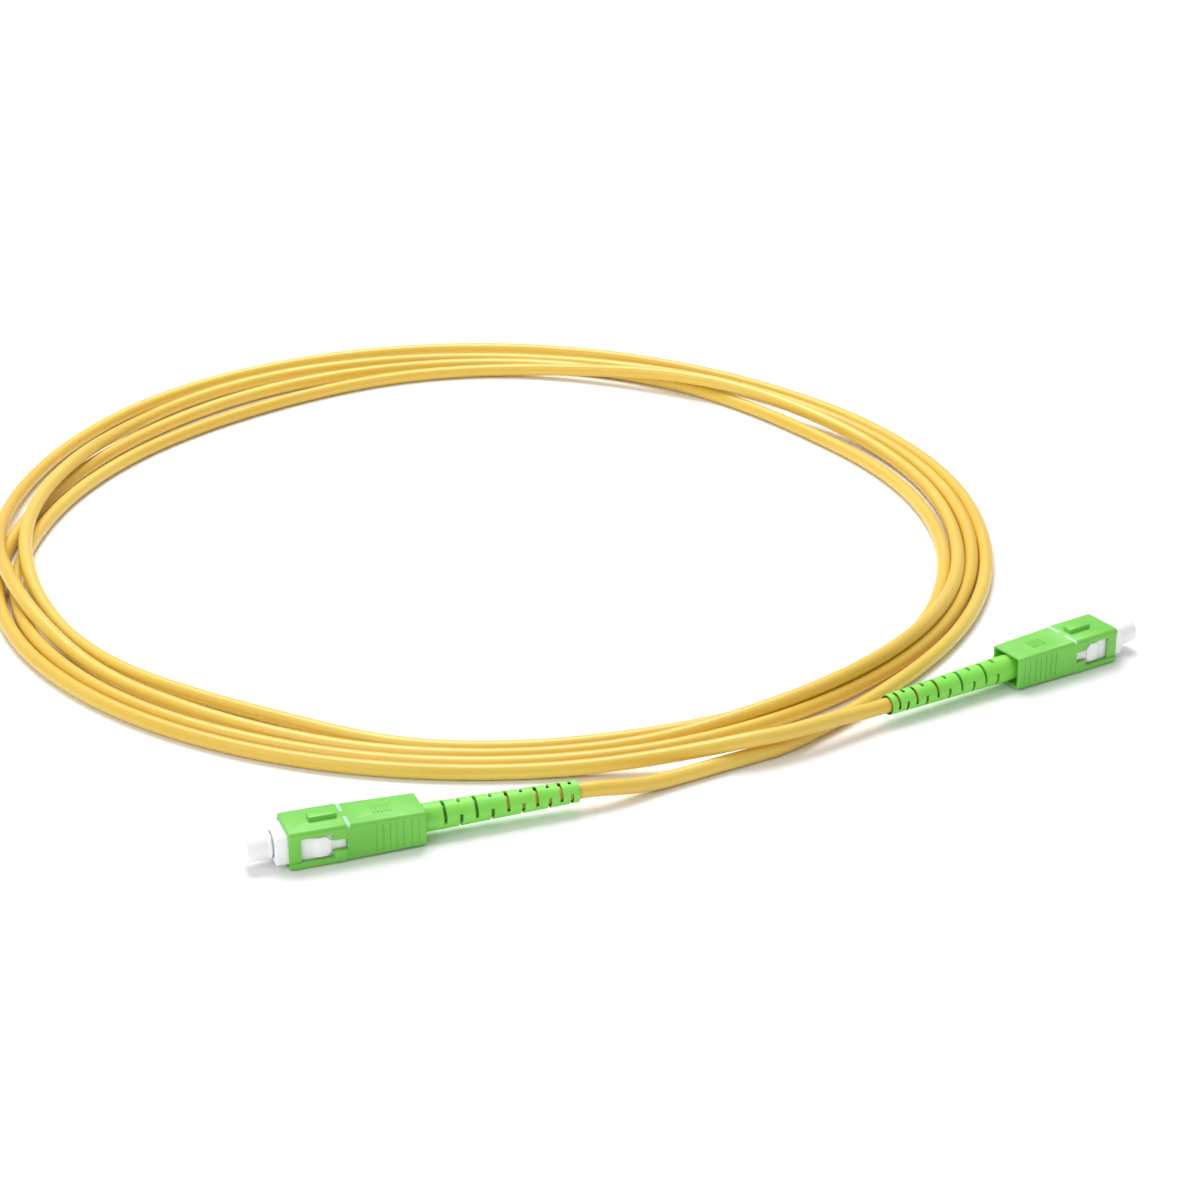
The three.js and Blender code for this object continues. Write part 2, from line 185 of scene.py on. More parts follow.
class Graph:
    """A node tree that is written as calls."""

    def __init__(self, tree: bpy.types.NodeTree) -> None:
        """Wraps an empty node tree."""
        self.tree = tree

    def feed(self, socket: bpy.types.NodeSocket, value: Any) -> None:
        """Links or sets one input socket.

        Args:
            socket: the input.
            value: a number, a setting or a signal.
        """
        if isinstance(value, Signal):
            self.tree.links.new(value.socket, socket)
        else:
            socket.default_value = value

    def raw(self, kind: str, values: dict[Any, Any] | None = None,
            **settings: Any) -> bpy.types.Node:
        """Adds any node.

        Args:
            kind: the node's type name.
            values: numbers or signals for its inputs, by name or place.
            settings: properties of the node itself.

        Returns:
            The new node.
        """
        node = self.tree.nodes.new(kind)
        for name, setting in settings.items():
            setattr(node, name, setting)
        for key, value in (values or {}).items():
            self.feed(node.inputs[key], value)
        return node

    def node(self, kind: str, values: dict[Any, Any] | None = None, output: Any = 0,
             **settings: Any) -> Signal:
        """Adds any node and gives one of its outputs."""
        return Signal(self, self.raw(kind, values, **settings).outputs[output])

    def mix(self, share: Any, first: Any, second: Any) -> Signal:
        """Mixes two colours by a share from 0 to 1."""
        values = {0: share, 6: first, 7: second}
        return self.node("ShaderNodeMix", values, 2, data_type="RGBA")

    def noise(self, place: Signal, scale: float, detail: float = 2.0) -> Signal:
        """Noise from 0 to 1 over a place."""
        values = {"Vector": place, "Scale": scale, "Detail": detail}
        return self.node("ShaderNodeTexNoise", values)

    def stretched(self, place: Signal, factors: tuple[float, float, float]) -> Signal:
        """A place multiplied by a factor along each axis."""
        return self.node("ShaderNodeVectorMath", {0: place, 1: factors}, operation="MULTIPLY")

    def axes(self, place: Signal) -> list[Signal]:
        """The three coordinates of a place."""
        split = self.raw("ShaderNodeSeparateXYZ", {0: place})
        return [Signal(self, output) for output in split.outputs]

    def point(self, x: Any = 0.0, y: Any = 0.0, z: Any = 0.0) -> Signal:
        """A vector made of three numbers or signals."""
        return self.node("ShaderNodeCombineXYZ", {0: x, 1: y, 2: z})

    def radius(self, across: Signal, above: Signal) -> Signal:
        """The distance from the axis of a place across and above it."""
        return (across * across + above * above).maths("SQRT")

    def moved(self, geometry: Signal, place: Signal) -> Signal:
        """Geometry with its points put at other places."""
        return self.node("GeometryNodeSetPosition", {"Geometry": geometry, "Position": place})

    def bump(self, height: Signal, strength: float, distance: float) -> Signal:
        """A surface normal that follows a height."""
        values = {"Strength": strength, "Distance": distance, "Height": height}
        return self.node("ShaderNodeBump", values)


# ---- finishes


@dataclass(frozen=True)
class Finish:
    """A surface finish; each kind of finish fills in its own shader.

    Args:
        name: the material's name.
        slot: the record's slot that it belongs to, if it's on the object; not used.
    """

    name: str
    slot: Slot | None

    def shade(self, graph: Graph) -> dict[str, Any]:
        """The Principled shader's inputs."""
        raise NotImplementedError

    def material(self) -> bpy.types.Material:
        """Builds the material, or finds it again.

        Returns:
            The material.
        """
        known = bpy.data.materials.get(self.name)
        if known is not None:
            return known
        material = bpy.data.materials.new(self.name)
        material.use_nodes = True
        material.node_tree.nodes.clear()
        graph = Graph(material.node_tree)
        shader = graph.node("ShaderNodeBsdfPrincipled", self.shade(graph))
        graph.raw("ShaderNodeOutputMaterial", {"Surface": shader})
        return material

    def place(self, graph: Graph) -> Signal:
        """The point's place in its plug's own frame, in millimetres."""
        return graph.node("ShaderNodeAttribute", output="Vector", attribute_name=PLACE)


@dataclass(frozen=True)
class MouldedPlastic(Finish):
    """Injection-moulded plastic: a faint cloud of tone, fine spark texture and a soft shine.

    Args:
        colour: the plastic's own colour.
        deep: the colour that it drifts to.
        roughness: the middle of its roughness.
        grain: the height of its fine texture, in metres.
        glow: how much light passes just under the skin.
    """

    colour: Colour
    deep: Colour
    roughness: float = 0.38
    grain: float = 0.00001
    glow: float = 0.0

    def colouring(self, graph: Graph, place: Signal) -> Signal:
        """The plastic's own colour, drifting a little."""
        cloud = graph.noise(place, 0.18, 3.0).step(0.3, 0.72)
        return graph.mix(cloud, self.deep, self.colour)

    def shade(self, graph: Graph) -> dict[str, Any]:
        """The Principled shader's inputs.

        Args:
            graph: the material's node tree.

        Returns:
            The inputs' names with their values or signals.
        """
        place = self.place(graph)
        smear = graph.noise(graph.stretched(place, (0.25, 1.0, 1.0)), 0.9, 4.0)
        spark = graph.noise(place, 9.0, 2.0)
        return {
            "Base Color": self.colouring(graph, place),
            "Roughness": self.roughness - 0.05 + smear * 0.1,
            "Normal": graph.bump(spark, 0.35, self.grain),
            "Subsurface Weight": self.glow,
            "Subsurface Radius": (0.0012, 0.0015, 0.0009),
            "IOR": 1.5,
        }


@dataclass(frozen=True)
class MarkedPlastic(MouldedPlastic):
    """Moulded plastic with two pale insertion marks printed across the top.

    Args:
        mark: the marks' colour.
        along: where the marks start and end along the plug, in millimetres.
        across: where each mark starts and ends to its side of the key, in millimetres.
        above: the height from which the print shows, in millimetres.
    """

    mark: Colour = srgb(186, 242, 198)
    along: tuple[float, float] = (-11.05, -10.5)
    across: tuple[float, float] = (1.0, 4.3)
    above: float = 3.0

    def colouring(self, graph: Graph, place: Signal) -> Signal:
        """The plastic's own colour under the two marks.

        Args:
            graph: the material's node tree.
            place: the point's place in its plug's own frame.

        Returns:
            The colour.
        """
        bare = super().colouring(graph, place)
        along, across, above = graph.axes(place)
        ragged = graph.noise(place, 3.0, 3.0) * 0.12
        mask = (along + ragged).band(*self.along, 0.05)
        mask = mask * abs(across).band(*self.across, 0.06) * above.step(self.above, self.above + 0.1)
        worn = 0.72 + graph.noise(place, 2.2, 4.0) * 0.36
        return graph.mix(mask * worn, bare, self.mark)


@dataclass(frozen=True)
class SlotShadedPlastic(MouldedPlastic):
    """Moulded plastic with painted shade on the floors of its slots, where little light reaches.

    Args:
        painted_slot_shade: the painted shade colour down in the slots.
        floor: the distance from the plug's axis within which a slot's floor lies, in millimetres.
    """

    # painted shade: this darker green stands in for the shade down in the slots
    painted_slot_shade: Colour = srgb(62, 128, 36)
    floor: float = 1.89

    def colouring(self, graph: Graph, place: Signal) -> Signal:
        """The plastic's own colour, with painted shade in the slots.

        Args:
            graph: the material's node tree.
            place: the point's place in its plug's own frame.

        Returns:
            The colour.
        """
        bare = super().colouring(graph, place)
        _, across, above = graph.axes(place)
        radius = graph.radius(across, above)
        # painted shade: below the slot floor's radius the colour turns to the painted shade colour
        return graph.mix(radius.step(self.floor, self.floor + 0.07), self.painted_slot_shade, bare)


@dataclass(frozen=True)
class Metal(Finish):
    """Plated or drawn metal with fine turning marks around the plug's axis.

    Args:
        colour: the metal's colour.
        dull: its colour where it is a little tarnished.
        roughness: the middle of its roughness.
    """

    colour: Colour
    dull: Colour
    roughness: float = 0.26

    def shade(self, graph: Graph) -> dict[str, Any]:
        """The Principled shader's inputs.

        Args:
            graph: the material's node tree.

        Returns:
            The inputs' names with their values or signals.
        """
        place = self.place(graph)
        turning = graph.noise(graph.stretched(place, (14.0, 0.6, 0.6)), 1.6, 3.0)
        tarnish = graph.noise(place, 0.7, 4.0).step(0.45, 0.8)
        return {
            "Base Color": graph.mix(tarnish, self.colour, self.dull),
            "Metallic": 1.0,
            "Roughness": self.roughness + turning * 0.14,
            "Normal": graph.bump(turning, 0.3, 0.000008),
        }


@dataclass(frozen=True)
class Ceramic(Finish):
    """Polished zirconia with the glass fibre's tiny core at the middle of its end.

    Args:
        colour: the ceramic's colour.
        core: the fibre's colour.
        core_radius: how far the fibre reaches from the axis, in millimetres.
    """

    colour: Colour = srgb(244, 243, 236)
    core: Colour = srgb(70, 74, 84)
    core_radius: float = 0.07

    def shade(self, graph: Graph) -> dict[str, Any]:
        """The Principled shader's inputs.

        Args:
            graph: the material's node tree.

        Returns:
            The inputs' names with their values or signals.
        """
        place = self.place(graph)
        along, across, above = graph.axes(place)
        radius = graph.radius(across, above)
        centre = (1 - radius.step(self.core_radius, self.core_radius * 1.3)) * along.step(3.0, 3.2)
        polish = graph.noise(place, 5.0, 3.0)
        return {
            "Base Color": graph.mix(centre, self.colour, self.core),
            "Roughness": 0.09 + polish * 0.06,
            "Normal": graph.bump(polish, 0.1, 0.000004),
            "Subsurface Weight": 0.15,
            "Subsurface Radius": (0.0006, 0.0005, 0.0004),
            "IOR": 2.1,
        }


@dataclass(frozen=True)
class Strands(Finish):
    """Aramid yarn: each strand a little lighter or darker than the next.

    Args:
        light: the lightest strand.
        dark: the darkest strand.
    """

    light: Colour = srgb(240, 214, 120)
    dark: Colour = srgb(198, 158, 62)

    def shade(self, graph: Graph) -> dict[str, Any]:
        """The Principled shader's inputs.

        Args:
            graph: the material's node tree.

        Returns:
            The inputs' names with their values or signals.
        """
        place = graph.stretched(self.place(graph), (0.3, 6.0, 6.0))
        fibres = graph.noise(place, 2.0, 4.0)
        return {
            "Base Color": graph.mix(fibres.step(0.35, 0.65), self.dark, self.light),
            "Roughness": 0.62 + fibres * 0.2,
            "Normal": graph.bump(fibres, 0.5, 0.00003),
            "Sheen Weight": 0.3,
        }


@dataclass(frozen=True)
class Jacket(Finish):
    """Extruded cable jacket: faint draw lines along the cable and a satin skin.

    Args:
        length: the cable's length, in millimetres, which its surface coordinate covers.
        radius: the cable's radius, in millimetres.
        colour: the jacket's colour.
        deep: the colour that it drifts to.
        roughness: the middle of its roughness.
    """

    length: float
    radius: float
    colour: Colour = srgb(232, 198, 84)
    deep: Colour = srgb(225, 185, 66)
    roughness: float = 0.36

    def shade(self, graph: Graph) -> dict[str, Any]:
        """The Principled shader's inputs.

        Args:
            graph: the material's node tree.

        Returns:
            The inputs' names with their values or signals.
        """
        along, around, _ = graph.axes(graph.node("ShaderNodeTexCoord", output="UV"))
        angle = around * math.tau
        sideways = angle.maths("COSINE") * self.radius
        upward = angle.maths("SINE") * self.radius
        skin = graph.point(along * self.length, sideways, upward)
        drift = graph.noise(graph.stretched(skin, (0.02, 0.25, 0.25)), 1.0, 3.0)
        lines = graph.noise(graph.stretched(skin, (0.05, 5.0, 5.0)), 1.0, 3.0)
        grain = graph.noise(skin, 7.0, 2.0)
        height = lines * 0.7 + grain * 0.3
        return {
            "Base Color": graph.mix(drift.step(0.3, 0.7), self.deep, self.colour),
            "Roughness": self.roughness - 0.06 + grain * 0.12,
            "Normal": graph.bump(height, 0.3, 0.00002),
            "Subsurface Weight": 0.05,
            "Subsurface Radius": (0.0014, 0.0009, 0.0003),
            "Coat Weight": 0.3,
            "Coat Roughness": 0.32,
            "IOR": 1.48,
        }


@dataclass(frozen=True)
class Tabletop(Finish):
    """The pale floor, a touch uneven in tone.

    Args:
        colour: its colour.
        shade_colour: the colour of its slightly darker patches.
    """

    colour: Colour = srgb(252, 252, 252)
    shade_colour: Colour = srgb(248, 248, 249)

    def shade(self, graph: Graph) -> dict[str, Any]:
        """The Principled shader's inputs.

        Args:
            graph: the material's node tree.

        Returns:
            The inputs' names with their values or signals.
        """
        place = graph.node("ShaderNodeTexCoord", output="Object")
        cloud = graph.noise(place, 3.0, 2.0)
        return {
            "Base Color": graph.mix(cloud, self.shade_colour, self.colour),
            "Roughness": 0.75 + cloud * 0.1,
            "Specular IOR Level": 0.2,
        }


CABLE_D = 3.0
CORD_LENGTH = 2.75  # the whole cable's length, in metres

HOUSING_GREEN = MarkedPlastic(
    "Housing green", Slot.HOUSING, srgb(120, 205, 77), srgb(115, 200, 73), 0.42, 0.000012, 0.06)
BOOT_GREEN = SlotShadedPlastic(
    "Boot green", Slot.BOOT, srgb(138, 226, 86), srgb(131, 219, 78), 0.44, 0.00002, 0.12)
FRAME_WHITE = MouldedPlastic(
    "Frame white", Slot.PLUG_FRAME, srgb(253, 252, 254), srgb(248, 247, 251), 0.34, 0.00001, 0.2)
CAP_WHITE = MouldedPlastic(
    "Cap white", Slot.DUST_CAP, srgb(254, 254, 255), srgb(250, 250, 253), 0.4, 0.000012, 0.35)
BUFFER_WHITE = MouldedPlastic(
    "Buffer white", Slot.BUFFER, srgb(246, 246, 244), srgb(236, 236, 234), 0.3, 0.000006, 0.1)
TUBE_CLEAR = MouldedPlastic(
    "Guide tube", Slot.GUIDE_TUBE, srgb(232, 233, 226), srgb(220, 222, 214), 0.28, 0.000006, 0.3)
NICKEL = Metal("Nickel plate", Slot.NICKEL, srgb(214, 209, 200), srgb(190, 184, 172), 0.24)
STEEL = Metal("Spring steel", Slot.SPRING, srgb(200, 203, 208), srgb(170, 172, 178), 0.2)
ZIRCONIA = Ceramic("Zirconia", Slot.FERRULE)
YARN = Strands("Aramid yarn", Slot.YARN)
JACKET = Jacket("Cable jacket", Slot.JACKET, CORD_LENGTH / MM, CABLE_D / 2)
FLOOR_WHITE = Tabletop("Floor", None)


# ---- geometry helpers


@dataclass(frozen=True)
class Placement:
    """Where one plug lies.

    Args:
        letter: the plug's letter, which ends its CAD nodes' names.
        matrix: the way from the plug's own frame, in millimetres, to the row frame, in metres.
    """

    letter: str
    matrix: Matrix

    @classmethod
    def from_record(cls, letter: str) -> "Placement":
        """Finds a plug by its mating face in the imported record.

        Args:
            letter: the plug's letter.

        Returns:
            The plug's placement.
        """
        mounts = {mount["name"]: mount for mount in frame["record"]["mounts"]}
        mount = mounts[f"mating_face_{letter}"]
        forward = Vector(mount["axis"]).normalized()
        up = Vector((0, 0, 1))
        left = up.cross(forward)
        axis_height = sum(corner.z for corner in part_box(f"boot_{letter}")) / 2
        origin = Vector(mount["pos_m"])
        origin.z = axis_height
        turn = Matrix((forward, left, up)).transposed().to_4x4()
        return cls(letter, Matrix.Translation(origin) @ turn @ Matrix.Scale(MM, 4))

    def point(self, x: float, y: float = 0.0, z: float = 0.0) -> Vector:
        """A place in the plug's own frame, as a point in the row frame."""
        return self.matrix @ Vector((x, y, z))

    def node(self, name: str) -> str:
        """The full name of one of the plug's CAD nodes."""
        return f"{name}_{self.letter}"

    def body(self, motion: Motion) -> str:
        """The CAD body that one of the plug's moving parts rides on."""
        return motion.value.format(letter=self.letter)


def link(name: str, data: bpy.types.ID) -> Thing:
    """Puts new object data into the scene.

    Args:
        name: the object's name.
        data: its mesh, curve, light or camera.

    Returns:
        The new object.
    """
    thing = bpy.data.objects.new(name, data)
    bpy.context.scene.collection.objects.link(thing)
    return thing


def mesh_object(name: str, points: Sequence[Sequence[float]],
                faces: Sequence[Sequence[int]]) -> Thing:
    """Makes a mesh object with doubles merged and normals outward.

    Args:
        name: the object's name.
        points: its corners.
        faces: the corner numbers of each face.

    Returns:
        The new object.
    """
    mesh = bpy.data.meshes.new(name)
    mesh.from_pydata([tuple(point) for point in points], [], [tuple(face) for face in faces])
    thing = link(name, mesh)
    tidy(thing)
    return thing


def tidy(thing: Thing) -> None:
    """Merges doubles and turns normals outward.

    Args:
        thing: the body.
    """
    work = bmesh.new()
    work.from_mesh(thing.data)
    bmesh.ops.remove_doubles(work, verts=work.verts, dist=MERGED)
    bmesh.ops.recalc_face_normals(work, faces=work.faces)
    work.to_mesh(thing.data)
    work.free()


def settle(thing: Thing) -> Thing:
    """Applies an object's modifiers for good.

    Args:
        thing: the body.

    Returns:
        The same body.
    """
    bpy.context.view_layer.update()
    graph = bpy.context.evaluated_depsgraph_get()
    finished = bpy.data.meshes.new_from_object(thing.evaluated_get(graph), depsgraph=graph)
    thing.modifiers.clear()
    thing.data = finished
    return thing


def boolean(thing: Thing, others: Sequence[Thing],
            operation: str) -> Thing:
    """Joins other bodies to a body or cuts them from it, and removes them.

    Args:
        thing: the body that stays.
        others: the bodies that are used up.
        operation: UNION or DIFFERENCE.

    Returns:
        The changed body.
    """
    for other in others:
        step = thing.modifiers.new("boolean", "BOOLEAN")
        step.operation = operation
        step.object = other
        step.solver = "EXACT"
    settle(thing)
    for other in others:
        bpy.data.objects.remove(other)
    return thing


def round_edges(thing: Thing, width: float) -> Thing:
    """Rounds every sharp edge a little and shades the rest smooth.

    Args:
        thing: the body.
        width: the rounding's width, in millimetres.

    Returns:
        The same body.
    """
    bevel = thing.modifiers.new("edges", "BEVEL")
    bevel.width = width
    bevel.segments = 2
    bevel.limit_method = "ANGLE"
    bevel.angle_limit = ROUNDED_ANGLE
    bevel.use_clamp_overlap = True
    settle(thing)
    tidy(thing)
    thing.data.shade_smooth()
    thing.data.set_sharp_from_angle(angle=SHADED_SHARP_ANGLE)
    return thing


def block(x: tuple[float, float], y: tuple[float, float],
          z: tuple[float, float]) -> Thing:
    """A plain block between two corners, for cutting or joining.

    Args:
        x: where it starts and ends along X.
        y: the same along Y.
        z: the same along Z.

    Returns:
        The new body.
    """
    points = [(x[i], y[j], z[k]) for i in (0, 1) for j in (0, 1) for k in (0, 1)]
    faces = [(0, 1, 3, 2), (4, 6, 7, 5), (0, 4, 5, 1), (2, 3, 7, 6), (0, 2, 6, 4), (1, 5, 7, 3)]
    return mesh_object("block", points, faces)


@dataclass(frozen=True)
class Section:
    """A rectangle with round corners across the plug.

    Args:
        x: where it stands along the plug.
        width: its size along Y.
        height: its size along Z.
        corner: its corners' radius.
    """

    x: float
    width: float
    height: float
    corner: float

    def outline(self, steps: int = 6) -> list[Vector]:
        """The section's outline, the same number of points at any size.

        Args:
            steps: points round each corner, less one.

        Returns:
            The points.
        """
        centres = [(1, 1), (-1, 1), (-1, -1), (1, -1)]
        points = []
        for quarter, (side, top) in enumerate(centres):
            for i in range(steps + 1):
                angle = (quarter + i / steps) * math.pi / 2
                y = side * (self.width / 2 - self.corner) + self.corner * math.cos(angle)
                z = top * (self.height / 2 - self.corner) + self.corner * math.sin(angle)
                points.append(Vector((self.x, y, z)))
        return points


def tube_faces(rings: int, count: int) -> list[Sequence[int]]:
    """Faces between rings of points that are laid out one after the other, with closed ends.

    Args:
        rings: how many rings.
        count: the points in each.

    Returns:
        The corner numbers of each face.
    """
    faces: list[Sequence[int]] = []
    for base in range(0, (rings - 1) * count, count):
        for i in range(count):
            j = (i + 1) % count
            faces.append((base + i, base + j, base + count + j, base + count + i))
    last = rings * count - 1
    return [*faces, range(count), range(last, last - count, -1)]


def loft(name: str, sections: Sequence[Section]) -> Thing:
    """A closed skin over a row of sections.

    Args:
        name: the object's name.
        sections: the row, in order along X.

    Returns:
        The new body.
    """
    rings = [section.outline() for section in sections]
    points = [point for ring in rings for point in ring]
    return mesh_object(name, points, tube_faces(len(rings), len(rings[0])))


def turned(name: str, profile: Sequence[tuple[float, float]],
           sides: int = 64) -> Thing:
    """A body turned about the plug's axis.

    Args:
        name: the object's name.
        profile: (x, radius) corners of half its section, in order around it.
        sides: how many sides it has.

    Returns:
        The new body.
    """
    points: list[Vector] = []
    faces: list[Sequence[int]] = []
    for i in range(sides):
        angle = i * math.tau / sides
        direction = (math.cos(angle), math.sin(angle))
        points += [Vector((x, r * direction[0], r * direction[1])) for x, r in profile]
    count = len(profile)
    for i in range(sides):
        here, there = i * count, ((i + 1) % sides) * count
        for j in range(count):
            k = (j + 1) % count
            if profile[j][1] == 0 and profile[k][1] == 0:
                continue
            faces.append((here + j, there + j, there + k, here + k))
    return mesh_object(name, points, faces)


def helix(name: str, radius: float, ends: tuple[float, float], turns: int,
          wire: float) -> Thing:
    """A round wire wound about the plug's axis.

    Args:
        name: the object's name.
        radius: the helix's radius.
        ends: where it starts and ends along the plug.
        turns: how many turns it has; the first and last lie nearly closed.
        wire: the wire's diameter.

    Returns:
        The new body.
    """
    steps, sides = 40 * turns, 12
    end_closing = 0.55
    points: list[Vector] = []
    for i in range(steps + 1):
        share = i / steps
        closed = math.sin(share * math.tau) * end_closing / math.tau
        x = ends[0] + (ends[1] - ends[0]) * (share - closed)
        angle = share * turns * math.tau
        outward = Vector((0, math.cos(angle), math.sin(angle)))
        for j in range(sides):
            spin = j * math.tau / sides
            offset = outward * math.cos(spin) + Vector((math.sin(spin), 0, 0))
            points.append(Vector((x, 0, 0)) + outward * radius + offset * wire / 2)
    return mesh_object(name, points, tube_faces(steps + 1, sides))


def remember_places(thing: Thing) -> None:
    """Stores each point's place in the plug's own frame, for the finishes.

    Args:
        thing: the body, still in the plug's own frame.
    """
    layer = thing.data.attributes.new(PLACE, "FLOAT_VECTOR", "POINT")
    flat = [value for vertex in thing.data.vertices for value in vertex.co]
    layer.data.foreach_set("vector", flat)


# ---- geometry nodes


class Rule:
    """A Geometry Nodes tree with named inputs that changes one body and is then baked."""

    def __init__(self, name: str) -> None:
        """Starts a tree with a geometry input and output.

        Args:
            name: the tree's name.
        """
        self.tree = bpy.data.node_groups.new(name, "GeometryNodeTree")
        self.graph = Graph(self.tree)
        geometry = "NodeSocketGeometry"
        self.tree.interface.new_socket("Geometry", in_out="INPUT", socket_type=geometry)
        self.tree.interface.new_socket("Geometry", in_out="OUTPUT", socket_type=geometry)
        self.source = self.graph.raw("NodeGroupInput")
        self.values: dict[str, Any] = {}

    def body(self) -> Signal:
        """The body that comes in."""
        return Signal(self.graph, self.source.outputs["Geometry"])

    def number(self, name: str, value: float) -> Signal:
        """Adds a named number input and remembers its value.

        Args:
            name: the input's name.
            value: what it is set to.

        Returns:
            The input, for use in the tree.
        """
        kind = "NodeSocketInt" if isinstance(value, int) else "NodeSocketFloat"
        item = self.tree.interface.new_socket(name, in_out="INPUT", socket_type=kind)
        self.values[item.identifier] = value
        return Signal(self.graph, self.source.outputs[name])

    def numbers(self, owner: Any, *names: str) -> list[Signal]:
        """Adds an input for each of the owner's named values."""
        return [self.number(name, getattr(owner, name)) for name in names]

    def copies(self, shape: Signal, points: Signal,
               values: dict[str, Any] | None = None) -> Signal:
        """Puts a copy of a shape at each point, turned and scaled by the given values."""
        values = {"Points": points, "Instance": shape, **(values or {})}
        return self.graph.node("GeometryNodeInstanceOnPoints", values)

    def bake(self, thing: Thing, result: Signal, finish: Finish) -> Thing:
        """Ends the tree, runs it on a body and keeps only the mesh.

        Args:
            thing: the body that goes in.
            result: the geometry that comes out.
            finish: the finish of everything in the result.

        Returns:
            The same object with its new mesh.
        """
        real = self.graph.node("GeometryNodeRealizeInstances", {"Geometry": result})
        values = {"Geometry": real, "Material": finish.material()}
        dressed = self.graph.node("GeometryNodeSetMaterial", values)
        self.graph.raw("NodeGroupOutput", {"Geometry": dressed})
        modifier = thing.modifiers.new(self.tree.name, "NODES")
        modifier.node_group = self.tree
        for identifier, value in self.values.items():
            modifier[identifier] = value
        return settle(thing)


@dataclass(frozen=True)
class SlotRings:
    """Rings of two opposite slots that close up towards a boot's tip, turned a quarter each time.

    Args:
        count: how many rings.
        start: where the boot leaves the housing.
        first: how far the first ring lies behind that.
        pitch: the way between the first rings.
        shrink: how quickly the later rings close up.
        straight: how many rings come before they close up.
        width: a slot's width along the boot.
        half_angle: half a slot's reach round the boot, in degrees.
        inner: the radius that the slots cut down to.
        outer: the radius that they start from.
        lift: how much further out the first rings' slots stand, so that they stay blind.
    """

    count: int = 10
    start: float = -25.0
    first: float = 4.0
    pitch: float = 2.95
    shrink: float = 0.106
    straight: int = 4
    width: float = 0.65
    half_angle: float = 62.0
    inner: float = 1.7
    outer: float = 3.4
    lift: float = 0.1

    def cut(self, boot: Thing, finish: Finish) -> Thing:
        """Cuts the slots into a boot.

        Args:
            boot: the plain boot.
            finish: the boot's finish.

        Returns:
            The slotted boot.
        """
        rule = Rule("Boot slots")
        graph = rule.graph
        count, start, first, pitch, shrink = rule.numbers(
            self, "count", "start", "first", "pitch", "shrink")
        straight, width, half_angle, inner, outer, lift = rule.numbers(
            self, "straight", "width", "half_angle", "inner", "outer", "lift")

        sizes = {"Size": (1, 1, 1), "Vertices X": 2, "Vertices Y": 25, "Vertices Z": 2}
        cube = graph.node("GeometryNodeMeshCube", sizes)
        x, y, z = graph.axes(graph.node("GeometryNodeInputPosition"))
        angle = y * 2 * half_angle.maths("RADIANS")
        radius = (inner + outer) / 2 + z * (outer - inner)
        sideways = radius * angle.maths("SINE")
        upward = radius * angle.maths("COSINE")
        bent = graph.moved(cube, graph.point(x * width, sideways, upward))

        line = graph.node("GeometryNodeMeshLine", {"Count": count * 2})
        index = graph.node("GeometryNodeInputIndex")
        ring = (index / 2).maths("FLOOR")
        opposite = index.maths("MODULO", 2)
        turned_ring = ring.maths("MODULO", 2)
        closing = (ring - straight).maths("MAXIMUM", 0)
        back = first + pitch * ring - shrink * closing * closing
        points = graph.moved(line, graph.point(start - back))
        roll = math.radians(-45) + turned_ring * (math.pi / 2) + opposite * math.pi
        reach = 1 + lift * (straight - ring).maths("MINIMUM", 1).maths("MAXIMUM", 0)
        stretch = graph.point(1.0, reach, reach)
        cutters = rule.copies(bent, points, {"Rotation": graph.point(roll), "Scale": stretch})
        real = graph.node("GeometryNodeRealizeInstances", {"Geometry": cutters})
        values = {"Mesh 1": rule.body(), "Mesh 2": real}
        result = graph.node(
            "GeometryNodeMeshBoolean", values, operation="DIFFERENCE", solver="EXACT")
        return rule.bake(boot, result, finish)


@dataclass(frozen=True)
class GripLines:
    """A row of upright grooves or ribs on both sides of a grip, in plug millimetres.

    Args:
        first: where the first one stands.
        count: how many.
        pitch: the way between them.
        size: each one's size along the plug, across it and upright.
        front_y: half the grip's width where the row's measure starts.
        lean: how much narrower the grip gets for each millimetre back.
        origin: where that measure starts along the plug.
    """

    first: float
    count: int
    pitch: float
    size: tuple[float, float, float]
    front_y: float = 4.35
    lean: float = 0.024
    origin: float = -10.4

    def cutters(self) -> Thing:
        """All the grooves as one cutting body.

        Returns:
            The cutting body.
        """
        rule = Rule("Grip lines")
        graph = rule.graph
        first, count, pitch, front_y, lean = rule.numbers(
            self, "first", "count", "pitch", "front_y", "lean")
        cube = graph.node("GeometryNodeMeshCube", {"Size": self.size})
        line = graph.node("GeometryNodeMeshLine", {"Count": count * 2})
        index = graph.node("GeometryNodeInputIndex")
        step = (index / 2).maths("FLOOR")
        side = index.maths("MODULO", 2) * 2 - 1
        x = first - pitch * step
        y = side * (front_y - lean * (self.origin - x))
        result = rule.copies(cube, graph.moved(line, graph.point(x, y)))
        return rule.bake(block((0, 1), (0, 1), (0, 1)), result, HOUSING_GREEN)


